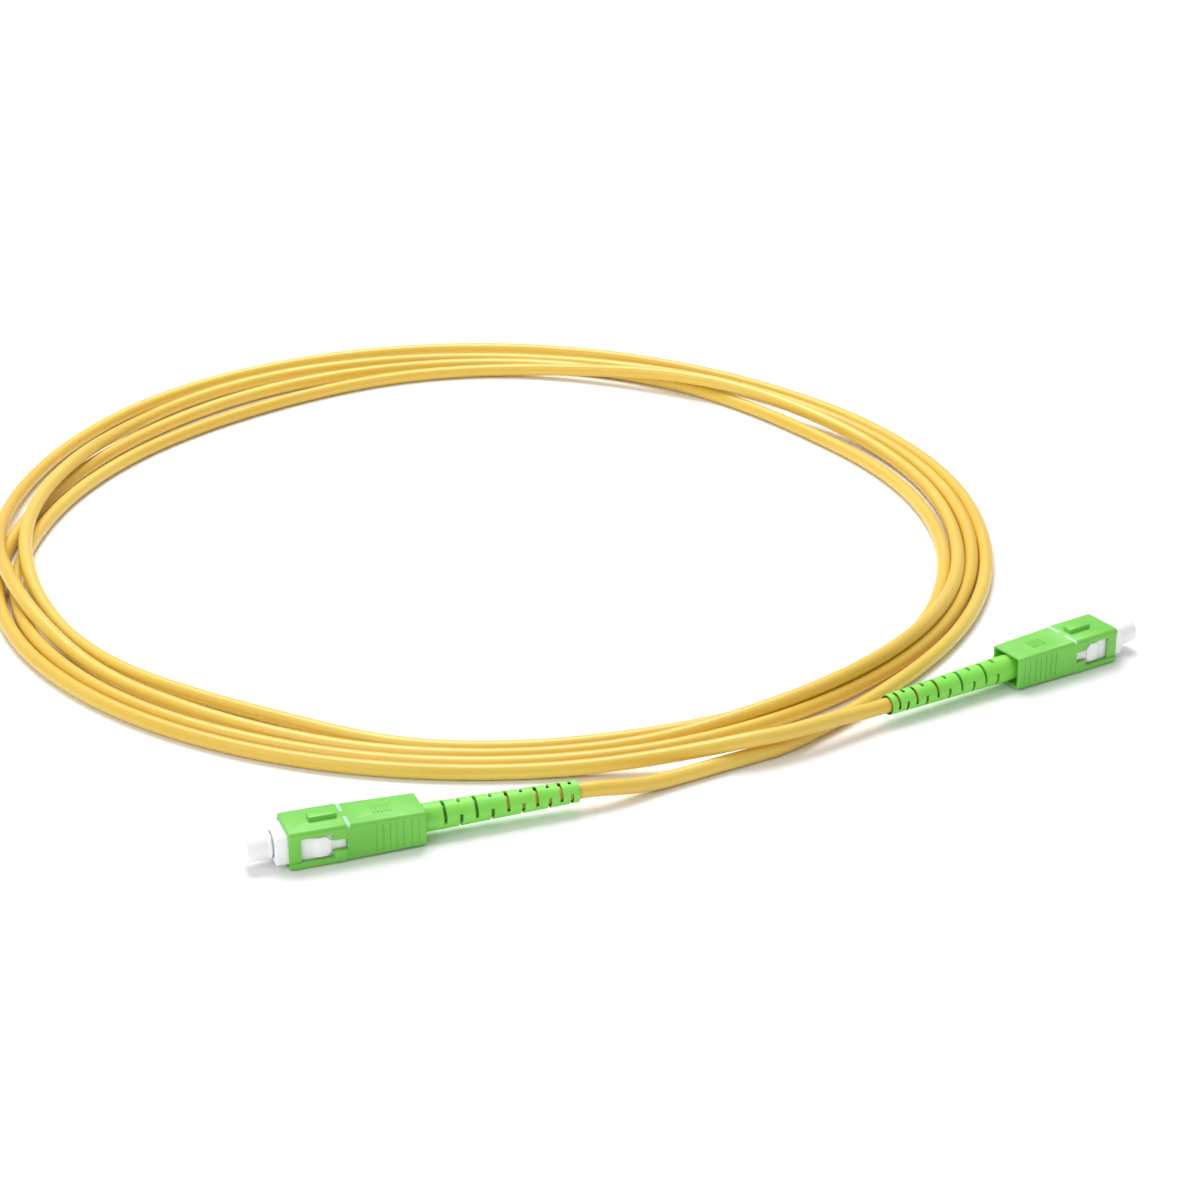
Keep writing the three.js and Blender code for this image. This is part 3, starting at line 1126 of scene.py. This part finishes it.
@dataclass(frozen=True)
class YarnRing:
    """Strands of yarn laid side by side round the crimp's neck.

    Args:
        front: where the strands come out of the crimp sleeve.
        rear: where they go into the jacket.
        radius: the middle of the ring.
        strands: how many.
        twist: how far each strand winds round, in radians.
        strand_d: a strand's thickness.
    """

    front: float = -22.3
    rear: float = -23.8
    radius: float = 1.09
    strands: int = 20
    twist: float = 0.5
    strand_d: float = 0.34

    def build(self, name: str) -> Thing:
        """Makes the ring of strands as one mesh.

        Args:
            name: the object's name.

        Returns:
            The new body.
        """
        rule = Rule("Yarn")
        graph = rule.graph
        strands, twist, radius = rule.numbers(self, "strands", "twist", "radius")
        ends = {"Start": (self.front, 0, 0), "End": (self.rear, 0, 0)}
        line = graph.node("GeometryNodeCurvePrimitiveLine", ends)
        fine = graph.node("GeometryNodeResampleCurve", {"Curve": line, "Count": 9})
        share = graph.node("GeometryNodeSplineParameter", output="Factor")
        along = self.front + share * (self.rear - self.front)
        wound = share * twist
        place = graph.point(along, radius * wound.maths("COSINE"), radius * wound.maths("SINE"))
        bent = graph.moved(fine, place)
        values = {"Resolution": 8, "Radius": self.strand_d / 2}
        ring = graph.node("GeometryNodeCurvePrimitiveCircle", values)
        values = {"Curve": bent, "Profile Curve": ring, "Fill Caps": True}
        strand = graph.node("GeometryNodeCurveToMesh", values)
        points = graph.node("GeometryNodeMeshLine", {"Count": strands, "Offset": (0, 0, 0)})
        index = graph.node("GeometryNodeInputIndex")
        turn = graph.point(index * math.tau / strands)
        result = rule.copies(strand, points, {"Rotation": turn})
        thing = rule.bake(block((0, 1), (0, 1), (0, 1)), result, YARN)
        thing.name = name
        return thing


# ---- the cable


@dataclass(frozen=True)
class Station:
    """A place that the cable passes on its way round the coil.

    Args:
        angle: its direction from the coil's centre, in degrees from +X towards +Y.
        radius: how far from the centre, in millimetres.
        height: how high the cable's middle is there, in millimetres.
    """

    angle: float
    radius: float
    height: float = CABLE_D / 2


def stations(*places: tuple[float, ...]) -> list[Station]:
    """Stations from (angle, radius) or (angle, radius, height)."""
    return [Station(*place) for place in places]


# Each turn starts and ends at the front, where the strands lie side by side.
FIRST_TURN = stations(
    (305.4, 112.9), (312, 110.6), (320, 109.0), (340, 108.0), (360, 107.0), (394, 107.9),
    (410, 109.0), (420, 110.5), (430, 112.6), (440, 114.8), (450, 116.4), (463, 117.8),
    (475, 118.0), (488, 117.2), (501, 114.8), (513, 111.8), (525, 109.0, 1.8),
    (533, 107.4, 2.5), (540, 106.3, 3.4), (546, 105.3, 4.5), (552, 104.1, 4.9),
    (559, 102.9, 4.9), (567, 101.9, 4.1), (573, 101.2, 2.9), (580, 100.7), (597, 100.1),
    (609, 101.0), (616, 102.2), (633, 103.0), (643, 103.0))
SECOND_TURN = stations(
    (650, 103.1, 1.7), (655, 103.05, 2.5), (660, 103.1, 3.4), (673, 103.2, 4.1),
    (690, 103.1, 4.1), (700, 102.4, 3.6), (710, 101.4, 2.4), (720, 100.9, 1.6), (740, 101.2),
    (751, 100.9, 2.0), (758, 100.5, 2.6), (764, 99.8, 3.4), (770, 99.2, 4.3),
    (777, 98.7, 4.9), (785, 98.6, 4.7), (793, 99.2, 3.6), (802, 100.4, 2.2), (812, 101.2),
    (825, 99.7), (840, 96.1), (850, 94.7), (860, 94.4), (877, 95.4), (893, 97.3),
    (902, 98.8), (910, 100.8), (920, 103.0), (933, 104.6), (948, 105.2), (969, 105.2),
    (982, 105.9), (993, 106.1))
THIRD_TURN = stations(
    (1010, 106.1), (1020, 105.4), (1033, 104.8), (1060, 104.5), (1080, 104.1),
    (1100, 104.5), (1115, 104.8), (1128, 105.2), (1138, 106.4), (1146, 107.0),
    (1155, 107.4), (1163, 108.2), (1170, 109.2), (1183, 110.8), (1195, 111.7),
    (1202, 111.8), (1210, 110.8), (1216, 109.6), (1221, 108.2, 1.6), (1226, 106.2, 2.2),
    (1230, 104.4, 3.0), (1233, 103.2, 3.9), (1236, 102.2, 4.6), (1240, 101.4, 4.8),
    (1250, 100.8, 4.8), (1256, 100.4, 4.8), (1263, 99.8, 4.8), (1270, 99.3, 4.7),
    (1277, 98.9, 3.7), (1285, 98.3, 2.3), (1293, 97.6), (1305, 96.5), (1314, 94.8),
    (1323, 94.6), (1329, 95.1), (1336, 97.3), (1342, 99.5), (1353, 100.0), (1363, 99.9))
FOURTH_TURN = stations(
    (1369, 99.8), (1380, 100.7), (1393, 101.5), (1405, 101.5), (1415, 100.6), (1425, 99.1),
    (1440, 97.6), (1453, 96.1), (1465, 94.8), (1478, 93.8), (1490, 96.0), (1497, 98.2),
    (1507, 101.2), (1515, 103.4), (1523, 104.9), (1530, 105.6), (1540, 105.8),
    (1550, 105.4), (1560, 104.6), (1570, 103.3), (1580, 101.9), (1590, 101.1),
    (1600, 100.9), (1610, 101.2), (1620, 103.1), (1630, 105.0), (1640, 106.6),
    (1654, 107.9), (1670, 108.5), (1690, 108.9), (1713, 109.2), (1719, 109.4),
    (1725, 110.5, 2.3), (1730, 112.4, 3.5), (1735, 114.5, 4.8), (1737, 115.2, 4.9))

# The ends that aren't coiled, from the coil's centre, in millimetres.
FIRST_END = (
    (23.6, -119.1, 3.5), (27.4, -117.5, 2.9), (31.2, -115.4, 2.2), (34.9, -113.1, 1.7),
    (38.7, -110.7, 1.5), (46.2, -106.2, 1.5), (53.9, -101.7, 1.5), (57.7, -99.3, 1.5))
LAST_END = (
    (57.5, -100.4, 4.8), (62.9, -97.3, 4.7), (67.6, -94.1, 4.5), (71.9, -91.1, 4.1),
    (75.5, -88.6, 3.8))


@dataclass
class Cable:
    """The one continuous cable, from inside one boot to inside the other.

    Args:
        start: the plug that it starts in.
        end: the plug that it ends in.
        hidden_from: where it starts inside each boot, along the plug, in millimetres.
        boot_tip: where it leaves each boot, along the plug, in millimetres.
        step: the angle between the coil's points, in degrees.
        smoothing: how many times each point is eased towards its neighbours.
    """

    start: Placement
    end: Placement
    hidden_from: float = -25.6
    boot_tip: float = -54.5
    step: float = 4.0
    smoothing: int = 2
    curve: Thing = field(init=False)

    def centre(self) -> Vector:
        """The point that the stations are measured from, on the floor.

        Returns:
            The point.
        """
        low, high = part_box("cable_coil")
        ring_shift = 5.0 * MM
        return Vector(((low.x + high.x) / 2, (low.y + high.y) / 2 - ring_shift, 0))

    def coil_points(self) -> list[Vector]:
        """The coil's points, at equal angles between the stations.

        Returns:
            The points, in the row frame.
        """
        route = [*FIRST_TURN, *SECOND_TURN, *THIRD_TURN, *FOURTH_TURN]
        first, last = route[0].angle, route[-1].angle
        count = round((last - first) / self.step)
        places = []
        leg = 0
        for i in range(count + 1):
            angle = first + (last - first) * i / count
            while leg < len(route) - 2 and angle > route[leg + 1].angle:
                leg += 1
            near, far = route[leg], route[leg + 1]
            share = (angle - near.angle) / (far.angle - near.angle)
            radius = near.radius + (far.radius - near.radius) * share
            height = near.height + (far.height - near.height) * share
            places.append((angle, radius, height))
        return [self.at(*place) for place in self.eased(places)]

    def eased(self, places: list[tuple[float, ...]]) -> list[tuple[float, ...]]:
        """Eases each place's radius and height towards its neighbours'.

        Args:
            places: (angle, radius, height) of each point.

        Returns:
            The same points with the corners gone.
        """
        for _ in range(self.smoothing):
            middle = [
                (now[0], (before[1] + 2 * now[1] + after[1]) / 4,
                 (before[2] + 2 * now[2] + after[2]) / 4)
                for before, now, after in zip(places, places[1:], places[2:])]
            places = [places[0], *middle, places[-1]]
        return places

    def at(self, angle: float, radius: float, height: float) -> Vector:
        """A place round the coil, as a point in the row frame.

        Args:
            angle: the place's direction from the centre, in degrees.
            radius: its distance from the centre.
            height: its height.

        Returns:
            The point.
        """
        turn = math.radians(angle)
        offset = Vector((radius * math.cos(turn), radius * math.sin(turn), height))
        return self.centre() + offset * MM

    def laid(self, route: Sequence[tuple[float, float, float]]) -> list[Vector]:
        """Listed points, as points in the row frame."""
        return [self.centre() + Vector(point) * MM for point in route]

    def inside(self, plug: Placement) -> list[Vector]:
        """The straight stretch inside a boot, from its hidden end to the boot's tip.

        Args:
            plug: where the plug lies.

        Returns:
            The points.
        """
        steps = 5
        reach = self.boot_tip - self.hidden_from
        return [plug.point(self.hidden_from + reach * i / steps) for i in range(steps + 1)]

    def build(self) -> None:
        """Draws the cable as one smooth curve."""
        last_stretch = list(reversed(self.inside(self.end)))
        points = [*self.inside(self.start), *self.laid(FIRST_END), *self.coil_points(),
                  *self.laid(LAST_END), *last_stretch]
        data = bpy.data.curves.new("fibre_cable", "CURVE")
        data.dimensions = "3D"
        data.resolution_u = 5
        data.bevel_depth = CABLE_D / 2 * MM
        data.bevel_resolution = 6
        data.use_fill_caps = True
        spline = data.splines.new("BEZIER")
        spline.bezier_points.add(len(points) - 1)
        for knot, point in zip(spline.bezier_points, points):
            knot.co = point
            knot.handle_left_type = "AUTO"
            knot.handle_right_type = "AUTO"
        self.curve = link("fibre_cable", data)
        data.materials.append(JACKET.material())

    def dress(self, pieces_at_end: Sequence[Thing]) -> None:
        """Args:
            pieces_at_end: the pieces of the plug at its far end; not used.
        """
        replaced = ["cable_tail_a", "cable_coil", "cable_tail_b", "jacket_end_a", "jacket_end_b"]
        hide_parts(*replaced)
        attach(self.curve, "cord")
        tuple(self.start.point(self.boot_tip))


# ---- the plug's sub-assemblies

GRIP_LINES = (
    GripLines(-15.8, 5, 1.25, (0.3, 0.24, 5.0)), GripLines(-22.3, 2, 1.3, (0.2, 0.18, 5.2)))

# Half sections of the turned pieces: (place along the plug, distance from its axis).
FRAME_BORE = (
    (-16, 0), (-16, 2.5), (-5.2, 2.5), (-5.2, 1.55), (-3.2, 1.55), (-3.2, 2.35), (3, 2.35), (3, 0))
CAP_PROFILE = (
    (-2.6, 1.55), (-2.6, 2.0), (-2.5, 2.05), (2.5, 2.05), (2.5, 2.5), (2.6, 2.6), (3.1, 2.6),
    (3.16, 2.52), (3.4, 2.52), (3.46, 2.6), (6.75, 2.58), (6.95, 2.5), (7.08, 2.3), (7.1, 2.1),
    (7.1, 1.5), (7.04, 1.42), (7.04, 0), (6.2, 0), (6.2, 1.55))
FERRULE_PROFILE = (
    (-6.6, 0), (-6.6, 1.15), (-6.5, 1.25), (3.7, 1.25), (3.85, 1.2), (4.2, 0.75), (4.2, 0))
FLANGE_PROFILE = (
    (-9.4, 0.75), (-9.4, 1.3), (-7.9, 1.3), (-7.9, 2.2), (-5.5, 2.2), (-5.5, 1.55), (-6.9, 1.55),
    (-6.9, 0.75))
GUIDE_PROFILE = ((-15.5, 0.75), (-15.5, 1.05), (-9.7, 1.05), (-9.7, 0.75))
STOP_RING_PROFILE = (
    (-17.6, 2.6), (-15.3, 2.6), (-15.3, 2.2), (-13.5, 2.2), (-13.5, 1.4), (-17.0, 1.4),
    (-17.0, 0.75))
SLEEVE_PROFILE = (
    (-23.6, 1.65), (-23.6, 1.95), (-22.9, 1.95), (-22.7, 1.88), (-19.2, 1.88), (-19.0, 1.95),
    (-17.9, 1.95), (-17.9, 1.65))
BUFFER_PROFILE = ((-29.5, 0), (-29.5, 0.45), (-10.0, 0.45), (-10.0, 0))


@dataclass
class SubAssembly:
    """Some pieces of one plug.

    Args:
        plug: where the plug lies.
    """

    plug: Placement
    made: list[Thing] = field(default_factory=list, init=False)

    def build(self) -> None:
        """Makes the pieces."""
        raise NotImplementedError

    def finish(self, thing: Thing, node: str, finish: Finish, motion: Motion) -> Thing:
        """Names a finished piece, puts it in its place and ties it to the CAD.

        Args:
            thing: the piece, in its plug's own frame.
            node: the CAD node that it stands for, without the plug's letter.
            finish: its finish.
            motion: what it moves with.

        Returns:
            The piece.
        """
        thing.name = self.plug.node(f"{node}_skin")
        thing.data.name = thing.name
        remember_places(thing)
        thing.data.materials.clear()
        thing.data.materials.append(finish.material())
        thing.data.transform(self.plug.matrix)
        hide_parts(self.plug.node(node))
        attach(thing, self.plug.body(motion))
        self.made.append(thing)
        LOG.info("%s: %d faces", thing.name, len(thing.data.polygons))
        return thing

    def lathe(self, node: str, profile: Sequence[Span], sides: int, rounding: float,
              finish: Finish, motion: Motion) -> None:
        """Turns a piece about the plug's axis, rounds its edges and finishes it.

        Args:
            node: the CAD node that it stands for, without the plug's letter.
            profile: (x, radius) corners of half its section.
            sides: how many sides it has.
            rounding: the width of its edges' rounding.
            finish: its finish.
            motion: what it moves with.
        """
        self.finish(round_edges(turned(node, profile, sides), rounding), node, finish, motion)


@dataclass
class OuterHousing(SubAssembly):
    """The push-pull outer housing: key on top, a latch window in each side, ribbed grip."""

    length: float = 25.0
    front_length: float = 10.4
    width: float = 9.0
    height: float = 7.4
    corner: float = 0.75
    rim: float = 0.38  # the front edge's rounding
    lip: float = 0.14  # what is left of that rounding halfway round it
    ease: float = 0.12  # half the way over which the front narrows to the grip
    grip_front: Span = (8.7, 7.2)
    grip_middle: Section = Section(-20.8, 8.2, 6.78, 0.6)
    grip_rear: Span = (8.0, 6.6)
    rear_edge: Span = (0.2, 0.25)  # the rear edge's rounding, along and across
    bores: tuple[tuple[Span, ...], ...] = (
        ((-15.4, 1), (-3.8, 3.8), (-3.1, 3.1)), ((-26, -15.3), (-3.4, 3.4), (-2.9, 2.9)))
    key: Span = (-9.6, -4.5)
    key_size: Span = (2.0, 0.8)
    root: float = 0.3  # how far the key and the ribs reach into the shell
    window: tuple[float, float, float] = (-2.2, -7.9, 4.6)
    tail: Span = (-10.5, 2.2)
    channel: tuple[float, float, float] = (-8.2, 4.7, 0.35)
    rib_count: int = 5
    first_rib: float = -16.2
    rib_pitch: float = 0.75
    rib_size: tuple[float, float, float] = (0.34, 2.6, 0.13)
    top_lean: float = 0.0204  # how much lower the grip's top gets for each millimetre back

    def shell(self) -> Thing:
        """The outside, from the front rim to the rear rim, with the step behind the front.

        Returns:
            The solid shell.
        """
        step, rear = -self.front_length, -self.length
        wide, tall = self.grip_front
        narrow, low = self.grip_rear
        rim, lip, corner = self.rim, self.lip, self.corner
        along, across = self.rear_edge
        return loft("housing", [
            Section(0, self.width - 2 * rim, self.height - 2 * rim, corner - rim / 2),
            Section(-lip / 3, self.width - rim, self.height - rim, corner),
            Section(-lip, self.width - lip, self.height - lip, corner),
            Section(-rim, self.width, self.height, corner),
            Section(step + self.ease, self.width, self.height, corner),
            Section(step - self.ease, wide, tall, corner - 0.1),
            self.grip_middle,
            Section(rear + along, narrow + 0.02, low + 0.02, corner - 0.2),
            Section(rear, narrow - across, low - across, corner - 0.3)])

    def openings(self) -> list[Thing]:
        """What is cut out of the shell: the bore, the windows and the side channels.

        Returns:
            The cutting bodies.
        """
        wide = self.width / 2 + 1
        front, rear, tall = self.window
        tail_rear, tail_tall = self.tail
        channel_rear, channel_tall, depth = self.channel
        cuts = [
            *(block(*bore) for bore in self.bores),
            block((rear, front), (-wide, wide), (-tall / 2, tall / 2)),
            block((tail_rear, rear + 0.1), (-wide, wide), (-tail_tall / 2, tail_tall / 2))]
        floor = self.width / 2 - depth
        for sides in ((floor, wide), (-wide, -floor)):
            cuts.append(block((channel_rear, 1), sides, (-channel_tall / 2, channel_tall / 2)))
        return cuts

    def top_ribs(self) -> list[Thing]:
        """The few short ribs on top of the grip, which the finger feels.

        Returns:
            The ribs.
        """
        long, wide, tall = self.rib_size
        ribs = []
        for i in range(self.rib_count):
            x = self.first_rib - self.rib_pitch * i
            back = -self.front_length - self.ease - x
            top = self.grip_front[1] / 2 - self.top_lean * back
            sides = (-wide / 2, wide / 2)
            ribs.append(block((x - long / 2, x + long / 2), sides, (top - self.root, top + tall)))
        return ribs

    def build(self) -> None:
        """Makes the housing."""
        thing = self.shell()
        wide, tall = self.key_size
        base = self.height / 2
        key = block(self.key, (-wide / 2, wide / 2), (base - self.root, base + tall))
        boolean(thing, [key, *self.top_ribs()], "UNION")
        lines = [row.cutters() for row in GRIP_LINES]
        boolean(thing, [*self.openings(), *lines], "DIFFERENCE")
        round_edges(thing, 0.09)
        self.finish(thing, "outer_housing", HOUSING_GREEN, Motion.HOUSING)


@dataclass
class PlugFrame(SubAssembly):
    """The inner plug frame with its two latch bumps, and the dust cap in its nose."""

    front: float = 2.2
    rear: float = -15.0
    width: float = 7.0
    height: float = 5.6
    corner: float = 0.55
    rim: float = 0.18
    latch: Span = (-4.1, -7.6)
    latch_rise: float = 0.6
    latch_half_height: float = 1.9
    latch_ramp: tuple[Span, ...] = ((0.0, 0.16), (0.5, 0.42), (1.2, 0.6))  # back, and outward
    latch_corner: float = 0.6
    root: float = 0.2  # how far a bump reaches into the frame
    rails: tuple[tuple[Span, ...], ...] = (
        ((-10.4, -7.5), (-3.7, -3.1), (-0.9, 0.9)), ((-10.4, -7.5), (3.1, 3.7), (-0.9, 0.9)))

    def latch_bump(self, side: int) -> Thing:
        """A latch bump, ramped towards the front, on one side.

        Args:
            side: 1 for the left side, -1 for the right.

        Returns:
            The bump.
        """
        half, tall, rise = self.width / 2, self.latch_half_height, self.latch_rise
        front, rear = self.latch
        ramp = [(front - back, half + outward) for back, outward in self.latch_ramp]
        inner = half - self.root
        profile = [(rear, inner), (front, inner), *ramp, (rear, half + rise)]
        points = [(x, side * y, z) for z in (-tall, tall) for x, y in profile]
        count = len(profile)
        faces: list[Sequence[int]] = [tuple(range(count)), tuple(range(count, 2 * count))]
        for i in range(count):
            j = (i + 1) % count
            faces.append((i, j, j + count, i + count))
        bump = mesh_object("latch", points, faces)
        corners = []
        cut = (-self.latch_corner, self.latch_corner)
        for top in (-1, 1):
            corner = block(cut, (-1, 1), cut)
            place = Matrix.Translation((rear, side * (half + rise), top * tall))
            corner.data.transform(place @ Matrix.Rotation(math.radians(45), 4, "Y"))
            corners.append(corner)
        return boolean(bump, corners, "DIFFERENCE")

    def build(self) -> None:
        """Makes the frame and the cap."""
        rim = self.rim
        body = loft("frame", [
            Section(self.front, self.width - 2 * rim, self.height - 2 * rim, self.corner),
            Section(self.front - rim, self.width, self.height, self.corner),
            Section(self.rear, self.width, self.height, self.corner)])
        rails = [block(*rail) for rail in self.rails]
        boolean(body, [self.latch_bump(1), self.latch_bump(-1), *rails], "UNION")
        boolean(body, [turned("bore", FRAME_BORE, 48)], "DIFFERENCE")
        self.finish(round_edges(body, 0.1), "plug_frame", FRAME_WHITE, Motion.CORD)
        self.lathe("dust_cap", CAP_PROFILE, 72, 0.05, CAP_WHITE, Motion.CAP)


@dataclass
class FerruleSet(SubAssembly):
    """What floats inside the plug frame: ferrule, flange and guide tube, with their spring."""

    tip: float = 4.1  # where the polished end crosses the axis
    polish: float = 8.0  # the polish's lean, in degrees
    notch: tuple[Span, ...] = ((-7.0, -4.5), (1.85, 3.2), (-0.4, 0.4))
    notch_count: int = 4
    spring_radius: float = 1.85
    spring_ends: Span = (-8.4, -13.0)
    spring_turns: int = 6
    wire: float = 0.4

    def ferrule(self) -> Thing:
        """The ceramic ferrule, its end polished at an angle.

        Returns:
            The new body.
        """
        body = turned("ferrule", FERRULE_PROFILE, 72)
        cutter = block((0, 2), (-3, 3), (-3, 3))
        lean = Matrix.Rotation(math.radians(-self.polish), 4, "Y")
        cutter.data.transform(Matrix.Translation((self.tip, 0, 0)) @ lean)
        return round_edges(boolean(body, [cutter], "DIFFERENCE"), 0.03)

    def flange(self) -> Thing:
        """The metal flange with its tuning notches.

        Returns:
            The new body.
        """
        body = turned("flange", FLANGE_PROFILE)
        notches = []
        for i in range(self.notch_count):
            notch = block(*self.notch)
            notch.data.transform(Matrix.Rotation(i * math.tau / self.notch_count, 4, "X"))
            notches.append(notch)
        return round_edges(boolean(body, notches, "DIFFERENCE"), 0.05)

    def build(self) -> None:
        """Makes the ferrule's set and the spring behind it."""
        self.finish(self.ferrule(), "ferrule", ZIRCONIA, Motion.FERRULE)
        self.finish(self.flange(), "ferrule_flange", NICKEL, Motion.FERRULE)
        self.lathe("guide_tube", GUIDE_PROFILE, 40, 0.04, TUBE_CLEAR, Motion.FERRULE)
        wire = helix("spring", self.spring_radius, self.spring_ends, self.spring_turns, self.wire)
        wire.data.shade_smooth()
        spring = self.finish(wire, "spring", STEEL, Motion.CORD)
        half = self.wire / 2
        front = self.plug.point(self.spring_ends[0] + half)
        seat = self.plug.point(self.spring_ends[1] - half)
        tuple(front - seat)
        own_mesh(spring)


@dataclass
class CableAnchor(SubAssembly):
    """What holds the cable in the plug: stop ring, crimp sleeve, yarn and buffered fibre."""

    first_ridge: float = -18.0
    ridge_pitch: float = 0.55
    ridge_count: int = 7
    neck_radius: float = 1.28
    ridge_radius: float = 1.35

    def neck(self) -> list[Span]:
        """The outside of the crimp body's ridged neck, from front to rear.

        Returns:
            (x, radius) corners.
        """
        low, high = self.neck_radius, self.ridge_radius
        outline = [(-17.6, low)]
        for i in range(self.ridge_count):
            front = self.first_ridge - self.ridge_pitch * i
            rear = front - 0.3
            outline += [(front, low), (front - 0.08, high), (rear - 0.02, high), (rear - 0.1, low)]
        return outline

    def build(self) -> None:
        """Makes the anchor's four pieces."""
        stop = [(-22.0, 0.75), (-22.0, 1.25), *reversed(self.neck()), *STOP_RING_PROFILE]
        self.lathe("crimp_body", stop, 64, 0.03, NICKEL, Motion.CORD)
        self.lathe("crimp_sleeve", SLEEVE_PROFILE, 72, 0.04, NICKEL, Motion.CORD)
        yarn = YarnRing().build("yarn")
        yarn.data.shade_smooth()
        self.finish(yarn, "aramid_yarn", YARN, Motion.CORD)
        self.lathe("fibre_buffer", BUFFER_PROFILE, 28, 0.03, BUFFER_WHITE, Motion.CORD)


@dataclass
class Boot(SubAssembly):
    """The tapered bend-relief boot with its slots."""

    collar: float = -25.0
    neck: float = 7.1
    length: float = 29.5
    bore: float = 1.8
    socket: Span = (-23.9, 2.25)
    collar_radius: float = 2.6
    # How far from the tip or behind the collar the outside turns, and its radius there.
    tip_outline: tuple[Span, ...] = ((0, 1.93), (0.06, 1.99), (0.6, 2.03))
    shoulder: tuple[Span, ...] = ((3.2, 2.58), (2.6, 2.6))

    def build(self) -> None:
        """Makes the boot."""
        collar, bore, wide = self.collar, self.bore, self.collar_radius
        tip, front = collar - self.length, collar + self.neck
        floor, socket = self.socket
        taper = [(tip + way, radius) for way, radius in self.tip_outline]
        taper += [(collar - way, radius) for way, radius in self.shoulder]
        body = turned("boot", [(tip, bore), *taper, (front, wide), (front, socket),
                               (floor, socket), (floor, bore)], 72)
        SlotRings().cut(body, BOOT_GREEN)
        self.finish(round_edges(body, 0.06), "boot", BOOT_GREEN, Motion.CORD)


@dataclass
class Plug:
    """One complete plug.

    Args:
        placement: where it lies.
    """

    placement: Placement
    parts: list[SubAssembly] = field(default_factory=list)

    def build(self) -> None:
        """Makes every sub-assembly in order, from the outside in."""
        for kind in (OuterHousing, PlugFrame, FerruleSet, CableAnchor, Boot):
            part = kind(self.placement)
            part.build()
            self.parts.append(part)
            LOG.info("plug %s: %s", self.placement.letter, kind.__name__)

    def pieces(self) -> list[Thing]:
        """Every piece of the plug."""
        return [piece for part in self.parts for piece in part.made]


# ---- the stage


@dataclass(frozen=True)
class Lamp:
    """A square soft light that faces the coil's centre.

    Args:
        name: the light's name.
        place: where it hangs, from the coil's centre.
        size: its side.
        power: its power, in watts.
    """

    name: str
    place: tuple[float, float, float]
    size: float
    power: float

    def hang(self, centre: Vector) -> None:
        """Makes the light.

        Args:
            centre: the coil's centre.
        """
        data = bpy.data.lights.new(self.name, "AREA")
        data.shape = "SQUARE"
        data.size = self.size
        data.energy = self.power
        thing = link(self.name, data)
        thing.location = centre + Vector(self.place)
        thing.rotation_euler = (thing.location - centre).to_track_quat("Z", "Y").to_euler()


@dataclass
class Studio:
    """Floor, light and camera.

    Args:
        centre: the coil's centre on the floor.
        lens: the camera's focal length, in millimetres.
        elevation: how far the camera looks down, in degrees.
        eye: where the camera stands, from the coil's centre.
        floor_size: the floor's side.
        sky_strength: the surround's brightness.
        lamps: the lights.
    """

    centre: Vector
    lens: float = 88.5
    elevation: float = 25.0
    eye: tuple[float, float, float] = (0.0240, -0.5885, 0.2600)
    floor_size: float = 6.0
    sky_strength: float = 0.5
    lamps: tuple[Lamp, ...] = (
        Lamp("key light", (-0.1, 0.5, 1.05), 0.8, 13.5),
        Lamp("fill light", (-0.8, -0.9, 0.7), 1.0, 5.5))

    def floor(self) -> None:
        """A wide pale floor."""
        half = self.floor_size / 2
        corners = [(-half, -half, 0), (half, -half, 0), (half, half, 0), (-half, half, 0)]
        thing = mesh_object("floor", corners, [(0, 1, 2, 3)])
        thing.data.materials.append(FLOOR_WHITE.material())

    def sky(self) -> None:
        """An even white surround."""
        world = bpy.data.worlds.new("surround")
        bpy.context.scene.world = world
        world.use_nodes = True
        world.node_tree.nodes.clear()
        graph = Graph(world.node_tree)
        values = {"Color": (1.0, 1.0, 1.0, 1.0), "Strength": self.sky_strength}
        light = graph.node("ShaderNodeBackground", values)
        graph.raw("ShaderNodeOutputWorld", {"Surface": light})

    def camera(self) -> None:
        """The camera, which looks along +Y and a little down."""
        data = bpy.data.cameras.new("camera")
        data.sensor_width = 36.0
        data.lens = self.lens
        data.clip_start = 0.01
        thing = link("camera", data)
        thing.location = self.centre + Vector(self.eye)
        thing.rotation_euler = (math.radians(90 - self.elevation), 0, 0)
        bpy.context.scene.camera = thing

    def build(self) -> None:
        """Sets the whole stage."""
        bpy.context.scene.view_settings.view_transform = "Standard"
        self.floor()
        self.sky()
        for lamp in self.lamps:
            lamp.hang(self.centre)
        self.camera()


def main() -> None:
    """Builds the cable, both plugs and the stage."""
    logging.basicConfig(level=logging.INFO, format="%(message)s")
    first, second = Placement.from_record("a"), Placement.from_record("b")
    cable = Cable(first, second)
    cable.build()
    LOG.info("cable: %d points", len(cable.curve.data.splines[0].bezier_points))
    plugs = [Plug(first), Plug(second)]
    for plug in plugs:
        plug.build()
    cable.dress(plugs[1].pieces())
    Studio(cable.centre()).build()


if __name__ == "__main__":
    main()
